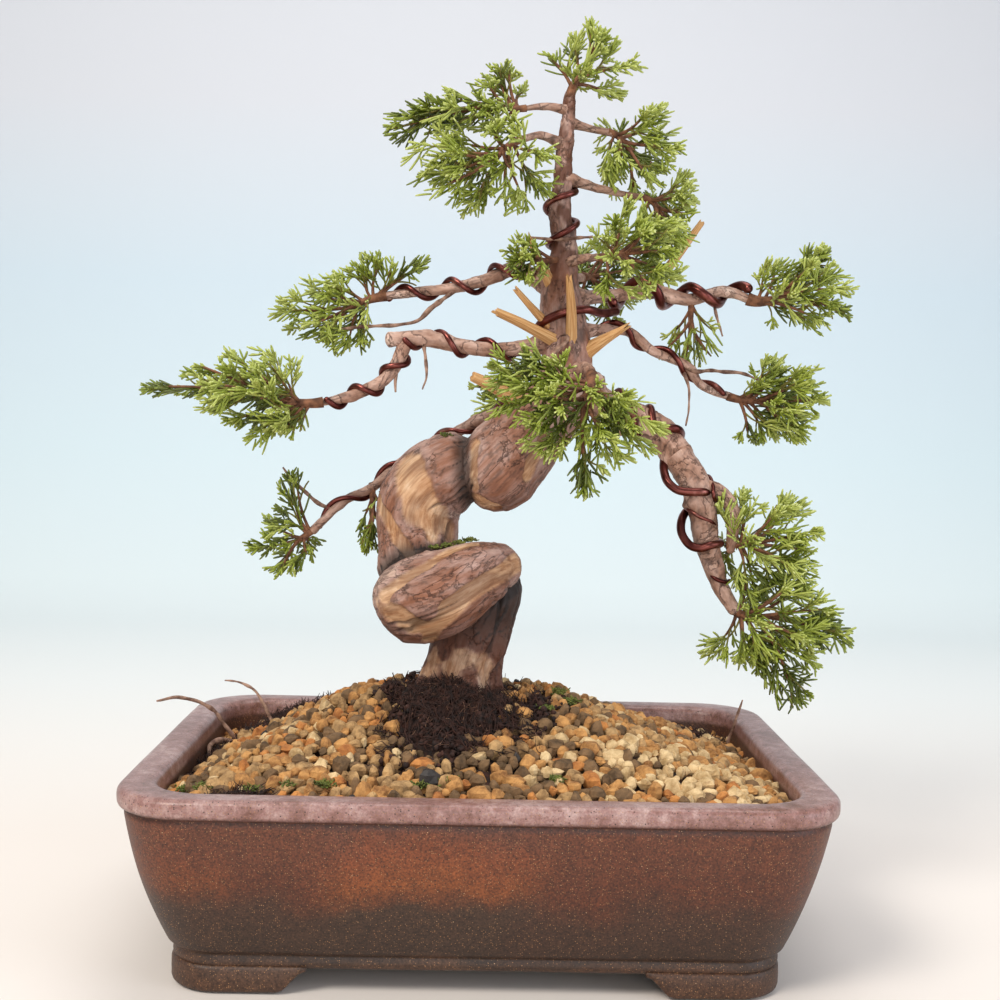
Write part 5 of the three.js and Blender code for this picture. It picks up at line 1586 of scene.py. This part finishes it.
def threads(count, seed, radius_range, length_range, stand):
    """Thin bent tubes over the peat: along a random heading with a sideways bow, laid on the soil.

    One end of each stands up by the square of the way along it.
    """
    rng = np.random.default_rng(seed)
    patches = np.array(PEAT_PATCHES, float)
    area = patches[:, 2] * patches[:, 3]
    chosen = patches[rng.choice(len(patches), count, p=area / area.sum())]
    spots = np.clip(rng.normal(0, 0.45, (count, 2)), -0.9, 0.9) * chosen[:, 2:4] + chosen[:, :2]
    heading = rng.uniform(0, 2 * np.pi, count)
    length = rng.uniform(*length_range, count)
    bow = rng.uniform(-0.35, 0.35, count) * length
    share = np.linspace(-0.5, 0.5, THREAD_RINGS)
    run = share * length[:, None]
    rise = (0.25 - share**2) * bow[:, None] * 4
    x = spots[:, :1] + run * np.cos(heading)[:, None] - rise * np.sin(heading)[:, None]
    y = spots[:, 1:] + run * np.sin(heading)[:, None] + rise * np.cos(heading)[:, None]
    lift = rng.uniform(0, 1, (count, 1)) ** 2 * stand * (share + 0.5) ** 2
    z = peat_height(x, y) + rng.uniform(0, 0.8, (count, 1)) + lift
    radii = rng.uniform(*radius_range, count)[:, None] * np.array([0.8, 1, 1, 0.9, 0.7, 0.4])
    points = many_tubes(np.stack([x, y, z], -1), radii, THREAD_SIDES)
    return points, tube_faces(THREAD_RINGS, THREAD_SIDES, count)


# Foliage

BRANCH_AREA = 760
FAN_LIMIT = 0.15
TWIGS_PER_BRANCH = 3
TWIG_LENGTH = (7, 15)
FRONDS_PER_TWIG = 2
FROND_LENGTH = (10, 18)
SIDE_CORDS = 7
SIDE_CORD_CHANCE = 0.86
FORK_CHANCE = 0.6
FORK_LEAST_LENGTH = 3.5
CORD_RADIUS = 0.48
CORD_SHARES = np.array([0, 0.45, 0.85, 1])
CORD_SWELL = np.array([0.75, 1.0, 0.95, 0.6])
CORD_SIDES = 5
# Woody tubes of a mass: radii at their start and end, then rings and sides.
STEM_END_RADIUS = 1.1
STEM_TUBE = (10, 8)
BRANCH_RADII = (0.9, 0.5)
BRANCH_TUBE = (7, 6)
TWIG_RADII = (0.5, 0.35)
TWIG_TUBE = (5, 5)
# Shares of a mass that its twigs and fronds are cut to, and beyond which a cord is left out.
TWIG_LIMIT = 0.75
FROND_LIMIT = 1.04
CORD_LIMIT = 1.12
# A cord nearer than this to a limb is left out too.
LIMB_CLEARANCE = 1.2
CLEARANCE_SPACING = 2.5
# Shares of their length that branches and twigs set off along their parent's heading.
BRANCH_LEAN = 0.12
TWIG_LEAN = 0.2
FRESH_TIP_SHARE = 0.35


def tilted(x, y, z, degrees):
    """Places turned about y by an angle that lifts the right-hand side."""
    tilt = np.radians(degrees)
    return np.stack([x * np.cos(tilt) - z * np.sin(tilt), y, x * np.sin(tilt) + z * np.cos(tilt)], -1)


def tapered_tubes(curves, radii, rings, sides):
    """Corners and faces of round tubes on quadratic curves, from the first radius evenly to the second."""
    count = len(curves[0])
    girth = np.repeat(np.linspace(*radii, rings)[None], count, 0)
    paths = bezier(*(part[:, None] for part in curves), np.linspace(0, 1, rings)[:, None])
    return many_tubes(paths, girth, sides), tube_faces(rings, sides, count)


def mass_spots(spec, count):
    """Even spots on a mass's ellipsoid by the golden angle, tilted."""
    order = np.arange(count)
    height = 1 - 2 * (order + 0.5) / count
    out = np.sqrt(1 - height**2)
    turn = order * GOLDEN_ANGLE
    ball = np.stack([out * np.cos(turn), out * np.sin(turn), height])
    x, y, z = ball * np.array(spec["half"])[:, None]
    return np.array(spec["centre"]) + tilted(x, y, z, spec.get("tilt", 0))


def spread(points, spec):
    """How far out points lie in a mass: 1 on its ellipsoid, which a noise by direction makes uneven.

    A furthest tip adds the space within TIP_REACH of the line that ends as far short of it.
    """
    centre = np.array(spec["centre"], float)
    offset = points - centre
    level = tilted(*np.moveaxis(offset, -1, 0), -spec.get("tilt", 0))
    uneven = 0.95 + 0.35 * smooth_noise(unit(offset) * 1.9 + centre, 7)
    reach = np.linalg.norm(level / np.array(spec["half"]), axis=-1) / uneven
    for tip in spec.get("tips", ()):
        line = np.array(tip) - centre
        line = line * (1 - TIP_REACH / np.linalg.norm(line))
        share = np.clip((offset @ line) / line.dot(line), 0, 1)
        reach = np.minimum(reach, np.linalg.norm(offset - share[..., None] * line, axis=-1) / TIP_REACH)
    return reach


def mass_stem(spec):
    """A mass's stem from its limb towards its centre: start, pull and end of a curve, and its radius."""
    centre = np.array(spec["centre"], float)
    if "root" in spec:
        start = np.array(spec["root"], float)
        heading = unit(centre - start)
        radius = SPRIG_RADIUS
    else:
        stations = BOUGHS[spec["bough"]] if "bough" in spec else LEADER
        places, radii = along_limb(stations, np.array([0.97, 1.0]))
        start = places[1]
        heading = unit(places[1] - places[0])
        radius = radii[1]
    length = np.linalg.norm(centre - start)
    end = start + STEM_SHARE * (centre - start)
    return start - 2 * heading, start + 0.35 * length * heading, end, radius


def grown_twigs(start, leave, end, lean):
    """Quadratic curves from start to end that set off partly along the parent's heading."""
    gap = end - start
    pull = start + 0.45 * gap + lean * np.linalg.norm(gap, axis=1, keepdims=True) * leave
    return start, pull, end


def curve_heading(curves, shares):
    """Heading of each quadratic curve at its own share."""
    start, pull, end = curves
    t = shares[:, None]
    return unit((1 - t) * (pull - start) + t * (end - pull))


def picked(curves, numbers):
    """The numbered ones of some curves."""
    return tuple(part[numbers] for part in curves)


def mass_twigs(spec, rng):
    """Twigs of a mass by its growth rule: branches fan out from the stem, and twigs wind round each branch.

    Branch ends are even spots in the outer half of the mass that lie ahead of the stem's root, and spots
    short of each furthest tip. Twigs leave a branch one golden angle after another, and stop inside the
    mass.
    """
    centre = np.array(spec["centre"], float)
    half = np.array(spec["half"], float)
    area = 4 * np.pi * np.mean([half[0] * half[1], half[0] * half[2], half[1] * half[2]])
    tips = np.array(spec.get("tips", np.empty((0, 3))), float).reshape(-1, 3)
    stem_start, stem_pull, stem_end, stem_radius = mass_stem(spec)
    stem = tuple(part[None] for part in (stem_start, stem_pull, stem_end))
    axis = unit(centre - stem_start)

    ends = mass_spots(spec, int(area / BRANCH_AREA) + 4)
    ends = centre + (ends - centre) * rng.uniform(0.45, 0.8, (len(ends), 1))
    ends = ends[unit(ends - stem_start) @ axis > FAN_LIMIT]
    tip_ends = [centre + share * (tips - centre) for share in (0.5, 0.75)]
    ends = np.concatenate([ends, *tip_ends])
    passed = (ends - stem_start) @ axis
    shares = 0.25 + 0.73 * passed.argsort().argsort() / (len(ends) - 1)
    stems = picked(stem, np.zeros(len(ends), int))
    start = bezier(*stems, shares[:, None])
    branches = grown_twigs(start, curve_heading(stems, shares), ends, BRANCH_LEAN)

    count = len(ends) * TWIGS_PER_BRANCH
    order = np.arange(count) % TWIGS_PER_BRANCH
    parents = picked(branches, np.arange(count) // TWIGS_PER_BRANCH)
    shares = np.clip(0.4 + 0.6 * order / (TWIGS_PER_BRANCH - 1) + rng.uniform(-0.08, 0.08, count), 0, 1)
    start = bezier(*parents, shares[:, None])
    heading = curve_heading(parents, shares)
    side = unit(np.cross(heading, [0.3, 0.2, 1.0]))
    turn = (np.arange(count) * GOLDEN_ANGLE)[:, None]
    # The last twig of a branch goes almost straight on.
    straight_on = np.where(order == TWIGS_PER_BRANCH - 1, 0.25, 1)
    open_angle = np.radians(rng.uniform(25, 50, count) * straight_on)[:, None]
    away = side * np.cos(turn) + np.cross(heading, side) * np.sin(turn)
    way = heading * np.cos(open_angle) + away * np.sin(open_angle)
    length = rng.uniform(*TWIG_LENGTH, count)
    for _ in range(6):
        length = np.where(spread(start + way * length[:, None], spec) > TWIG_LIMIT, length * 0.75, length)
    twigs = grown_twigs(start, heading, start + way * length[:, None], TWIG_LEAN)
    return stem, stem_radius, branches, twigs


def mass_fronds(spec, twigs, rng):
    """Fronds of a mass: one at the end of each twig or branch and others along it, cut to fit the mass."""
    count = len(twigs[0]) * FRONDS_PER_TWIG
    order = np.arange(count) % FRONDS_PER_TWIG
    terminal = order == 0
    shares = np.where(terminal, 1.0, rng.uniform(0.25, 0.95, count))
    curves = picked(twigs, np.arange(count) // FRONDS_PER_TWIG)
    start = bezier(*curves, shares[:, None])
    heading = curve_heading(curves, shares)
    onward = unit(start - mass_stem(spec)[0])
    stray = unit(rng.normal(size=start.shape)) * np.where(terminal, 0.25, 0.7)[:, None]
    way = unit(heading * 0.7 + 0.5 * onward + stray)
    length = rng.uniform(*FROND_LENGTH, count) * spec.get("long", 1.0)
    for _ in range(7):
        length = np.where(spread(start + way * length[:, None], spec) > FROND_LIMIT, length * 0.88, length)
    return start, way, length


def frond_cords(start, way, length, rng):
    """Cords of fronds: a middle cord, side cords to its left and right in turn, and a fork on some of them.

    Returns start, heading, bend and length of each cord, the number of its frond, and that of the cord that
    it grows on.
    """
    count = len(start)
    flat = unit(np.cross(way, rng.normal(size=way.shape)))
    lift = np.cross(way, flat)
    spine = (start, way, 0.12 * rng.normal(size=way.shape), length, np.arange(count), np.arange(count))

    number = np.repeat(np.arange(count), SIDE_CORDS)
    order = np.tile(np.arange(SIDE_CORDS), count)
    kept = rng.uniform(0, 1, len(number)) < SIDE_CORD_CHANCE
    number, order = number[kept], order[kept]
    share = 0.08 + 0.78 * (order + rng.uniform(0, 0.6, len(order))) / SIDE_CORDS
    hand = np.where(order % 2 == 0, 1.0, -1.0) * rng.choice([1, 1, 1, -1], len(order))
    angle = np.radians(rng.uniform(26, 62, len(order)))[:, None]
    sideways = unit(flat[number] * hand[:, None] + lift[number] * rng.normal(0, 0.9, (len(order), 1)))
    side_way = way[number] * np.cos(angle) + sideways * np.sin(angle)
    side_length = length[number] * (0.54 - 0.2 * share) * rng.uniform(0.5, 1.4, len(order))
    side_start = start[number] + way[number] * (length[number] * share)[:, None]
    sides = (side_start, side_way, 0.3 * way[number], side_length, number, number)

    forked = (rng.uniform(0, 1, len(order)) < FORK_CHANCE) & (side_length > FORK_LEAST_LENGTH)
    turn = np.radians(rng.uniform(25, 50, forked.sum()))[:, None] * rng.choice([-1, 1], (forked.sum(), 1))
    across = np.cross(side_way[forked], lift[number[forked]])
    fork_way = unit(side_way[forked] * np.cos(turn) + across * np.sin(turn))
    fork_share = rng.uniform(0.3, 0.6, forked.sum())[:, None]
    fork_start = side_start[forked] + side_way[forked] * side_length[forked][:, None] * fork_share
    fork_bend = 0.15 * way[number[forked]]
    fork_length = side_length[forked] * 0.6
    forks = (fork_start, fork_way, fork_bend, fork_length, number[forked], count + np.flatnonzero(forked))
    return (np.concatenate(parts) for parts in zip(spine, sides, forks))


def build_foliage():
    """Every mass: its leaf cords as one piece in five greens dealt by frond, lighter with painted light
    towards the outside and upwards, and darker with painted shade in a dark mass.

    The stems and branches of all masses are one piece more, and their young green shoots another.
    """
    limbs = [*LOBES.values(), *BOUGHS.values(), *STUBS.values()]
    limb_places, limb_radii = limb_samples(limbs, CLEARANCE_SPACING)
    wood = []
    shoots = []
    for seed, (name, spec) in enumerate(FOLIAGE.items()):
        rng = np.random.default_rng(FOLIAGE_SEED + seed)
        stem, stem_radius, branches, twigs = mass_twigs(spec, rng)
        wood.append(tapered_tubes(stem, (stem_radius, STEM_END_RADIUS), *STEM_TUBE))
        wood.append(tapered_tubes(branches, BRANCH_RADII, *BRANCH_TUBE))
        shoots.append(tapered_tubes(twigs, TWIG_RADII, *TWIG_TUBE))

        carriers = tuple(np.concatenate(ends) for ends in zip(twigs, branches))
        fronds = mass_fronds(spec, carriers, rng)
        start, way, bend, length, number, carrier = frond_cords(*fronds, rng)
        steps = CORD_SHARES[None, :, None]
        paths = start[:, None] + length[:, None, None] * (way[:, None] * steps + bend[:, None] * steps**2)
        clear = spread(paths[:, -1], spec) < CORD_LIMIT
        for spot in (1, 3):
            close, distance = nearest(paths[:, spot], limb_places)
            clear &= distance > limb_radii[close] + LIMB_CLEARANCE
        # A cord goes with the one that it grows on, and a fork with its frond's middle cord too.
        clear &= clear[carrier]
        clear &= clear[carrier]
        paths, number = paths[clear], number[clear]
        girth = CORD_RADIUS * rng.uniform(0.85, 1.15, len(paths))
        points = many_tubes(paths, girth[:, None] * CORD_SWELL, CORD_SIDES)
        faces = tube_faces(len(CORD_SHARES), CORD_SIDES, len(paths))

        frond_start, frond_way, frond_length = fronds
        middle = frond_start + frond_way * frond_length[:, None] * 0.6
        # Painted light: fronds nearer the outside of their mass and fronds heading upwards get lighter
        # greens, and a dark mass gets darker ones as painted shade; the rest is random.
        light = 3.4 * eased(0.25, 1.05, spread(middle, spec)) + 0.5 * frond_way[:, 2]
        light += rng.normal(0, 0.45, len(light)) - 0.15 - spec.get("dark", 0)
        tone = np.clip(light, 0, 3.49)[number].round().astype(int)
        rows = len(CORD_SHARES) - 1
        wall = np.repeat(tone[:, None], rows * CORD_SIDES, 1)
        fresh = (rng.uniform(0, 1, len(tone)) < FRESH_TIP_SHARE).astype(int)
        wall[:, -CORD_SIDES:] += fresh[:, None]
        ends = np.stack([tone, tone + fresh], 1)
        make_piece(
            f"leaves_{name}", points, faces, GREENS,
            "foliage_dark" if "dark" in spec else "foliage", [f"foliage_{name}"],
            shades=np.concatenate([wall.ravel(), ends.ravel()]),
        )
    make_piece("leafy_twigs", *joined(wood), [TWIG_BARK], "bough_bark")
    make_piece("young_shoots", *joined(shoots), [SHOOT_BARK], "foliage")


# Stage, light and camera

STAGE_FADE = [
    (0.05, "#e4dcd5"), (0.25, "#e6e8e6"), (0.5, "#e6f0f1"), (0.67, "#dcebf0"), (0.83, "#d6e4ed"),
    (0.95, "#dfe1e7"),
]
STAGE_HALF_WIDTH = 3500
STAGE_FRONT = -2500
STAGE_BACK = 900
STAGE_BEND = 500
STAGE_TOP = 3000
STAGE_DROP = 0.5
# Lamps: place, the place that they face, side, watts and colour.
LAMPS = {
    "key": ((-800, -1000, 1300), (0, 0, 200), 600, 22, "#fff8ee"),
    "front": ((150, -1500, 380), (0, 0, 180), 800, 5, "#ffffff"),
    "fill": ((1200, -700, 500), (0, 0, 200), 900, 8, "#eef4ff"),
    "top": ((100, 200, 1500), (0, 0, 200), 1000, 10, "#ffffff"),
}
ROOM_LIGHT = 0.44


def stage_material():
    """Smooth painted board, matt: warm white below, fading to a cool white above."""
    surface, tree = new_material("matt white board", Roughness=0.9)
    place = add_node(tree, "ShaderNodeTexCoord")["Object"]
    axes = add_node(tree, "ShaderNodeSeparateXYZ", {"Vector": place})
    # The way back over the floor and up the wall, as far as 2.2 m.
    way = add_node(tree, "ShaderNodeMath", {0: axes["Y"], 1: axes["Z"]}, operation="ADD")[0]
    share = add_node(tree, "ShaderNodeMapRange", {"Value": way, "From Max": 2.2})[0]
    colour = add_node(tree, "ShaderNodeValToRGB", {0: share}, stops=STAGE_FADE)[0]
    return linked(surface, {"Base Color": colour})


def build_stage():
    """Floor and backdrop in one sheet: a profile flat to the back, a quarter circle up, then upright."""
    turn = np.linspace(0, np.pi / 2, 24)
    profile = np.concatenate(
        [
            [[STAGE_FRONT, 0], [0, 0]],
            np.stack([STAGE_BACK + STAGE_BEND * np.sin(turn), STAGE_BEND * (1 - np.cos(turn))], 1),
            [[STAGE_BACK + STAGE_BEND, STAGE_TOP]],
        ]
    )
    points = np.empty((len(profile), 3, 3))
    points[..., 0] = np.linspace(-STAGE_HALF_WIDTH, STAGE_HALF_WIDTH, 3)
    points[..., 1] = profile[:, :1]
    points[..., 2] = profile[:, 1:] - STAGE_DROP
    row, column = np.meshgrid(np.arange(len(profile) - 1), np.arange(2), indexing="ij")
    low = (row * 3 + column).reshape(-1, 1)
    faces = np.concatenate([low, low + 1, low + 4, low + 3], 1)
    sheet = in_scene("backdrop", make_mesh("backdrop", points, [faces]), [stage_material()])


def stood(name, data, place, axes):
    """A lamp or camera at a place in mm, with the directions of its right, up and back."""
    matrix = np.eye(4)
    matrix[:3, :3] = np.stack(axes, 1)
    matrix[:3, 3] = np.array(place) * MM + POT_MIDDLE
    holder = in_scene(name, data)
    holder.matrix_world = Matrix(matrix.tolist())
    return holder


def add_lamp(name, place, aim, size, watts, colour):
    """A square soft lamp at a place in mm that faces another place."""
    lamp = bpy.data.lights.new(name, "AREA")
    lamp.size = size * MM
    lamp.energy = watts
    lamp.color = linear(colour)[:3]
    back = unit(np.array(place, float) - np.array(aim, float))
    right = unit(np.cross([0, 0, 1], back))
    stood(name, lamp, place, [right, np.cross(back, right), back])


def build_light():
    """Soft studio light: a large key at the upper left front, weaker lamps round it, and a pale room."""
    for name, settings in LAMPS.items():
        add_lamp(name, *settings)
    world = bpy.data.worlds.new("pale room")
    world.use_nodes = True
    background = world.node_tree.nodes["Background"]
    background.inputs["Color"].default_value = linear("#eef2f6")
    background.inputs["Strength"].default_value = ROOM_LIGHT
    bpy.context.scene.world = world
    bpy.context.scene.view_settings.view_transform = "Standard"


def build_camera():
    """The camera: forward, right and up from its turns, then rolled, with the lens for its focal length."""
    down, right_turn, roll = np.radians([CAMERA_DOWN, CAMERA_RIGHT, CAMERA_ROLL])
    forward = np.array([np.sin(right_turn) * np.cos(down), np.cos(right_turn) * np.cos(down), -np.sin(down)])
    right = np.array([np.cos(right_turn), -np.sin(right_turn), 0])
    up = np.cross(right, forward)
    rolled_right = right * np.cos(roll) + up * np.sin(roll)
    rolled_up = up * np.cos(roll) - right * np.sin(roll)
    lens = bpy.data.cameras.new("camera")
    lens.sensor_width = SENSOR_WIDTH
    lens.lens = FOCAL_PIXELS / IMAGE_PIXELS * SENSOR_WIDTH
    lens.clip_start = 0.01
    bpy.context.scene.camera = stood("camera", lens, CAMERA_PLACE, [rolled_right, rolled_up, -forward])


# The pieces in turn

build_pot()
build_mound()
build_grains()
build_peat()
build_trunk()
for bough_number, (bough_name, bough_stations) in enumerate(BOUGHS.items()):
    build_bough(bough_name, bough_stations, BOUGH_SEED + bough_number, [f"bough_{bough_name}"])
build_bough("cascade_side", CASCADE_SIDE, CASCADE_SIDE_SEED, [])
for stub_number, (stub_name, stub_stations) in enumerate(STUBS.items()):
    build_stub(stub_name, stub_stations, STUB_SEED + stub_number)
for wire_number, (wire_name, wire) in enumerate(WIRES.items()):
    wire_limb = LEADER if wire_name == "leader" else BOUGHS[wire_name]
    wire_trim = 1 if wire_name == "leader" else BOUGH_TRIMS.get(wire_name, BOUGH_TRIM)
    wound = helix(wire_limb, wire, wire_trim, WIRE_SEED + wire_number)
    build_wire(wire_name, [wound], [f"wire_{wire_name}"])
build_wire("cascade_inner", [(wire_path(CASCADE_WIRE_INNER), THICK_WIRE)], ["wire_cascade_inner"])
build_wire(
    "cascade_outer",
    [
        (wire_path(CASCADE_WIRE_OUTER), THICK_WIRE), (wire_path(CASCADE_WIRE_THIN), THIN_WIRE),
        (wire_path(CASCADE_WIRE_LOW), THIN_WIRE),
    ],
    ["wire_cascade_outer"],
)
build_wire("trunk_wrap", [(wire_path(TRUNK_WRAP), THICK_WIRE)], [])
build_bare_twigs()
build_moss()
build_foliage()
build_stage()
build_light()
build_camera()
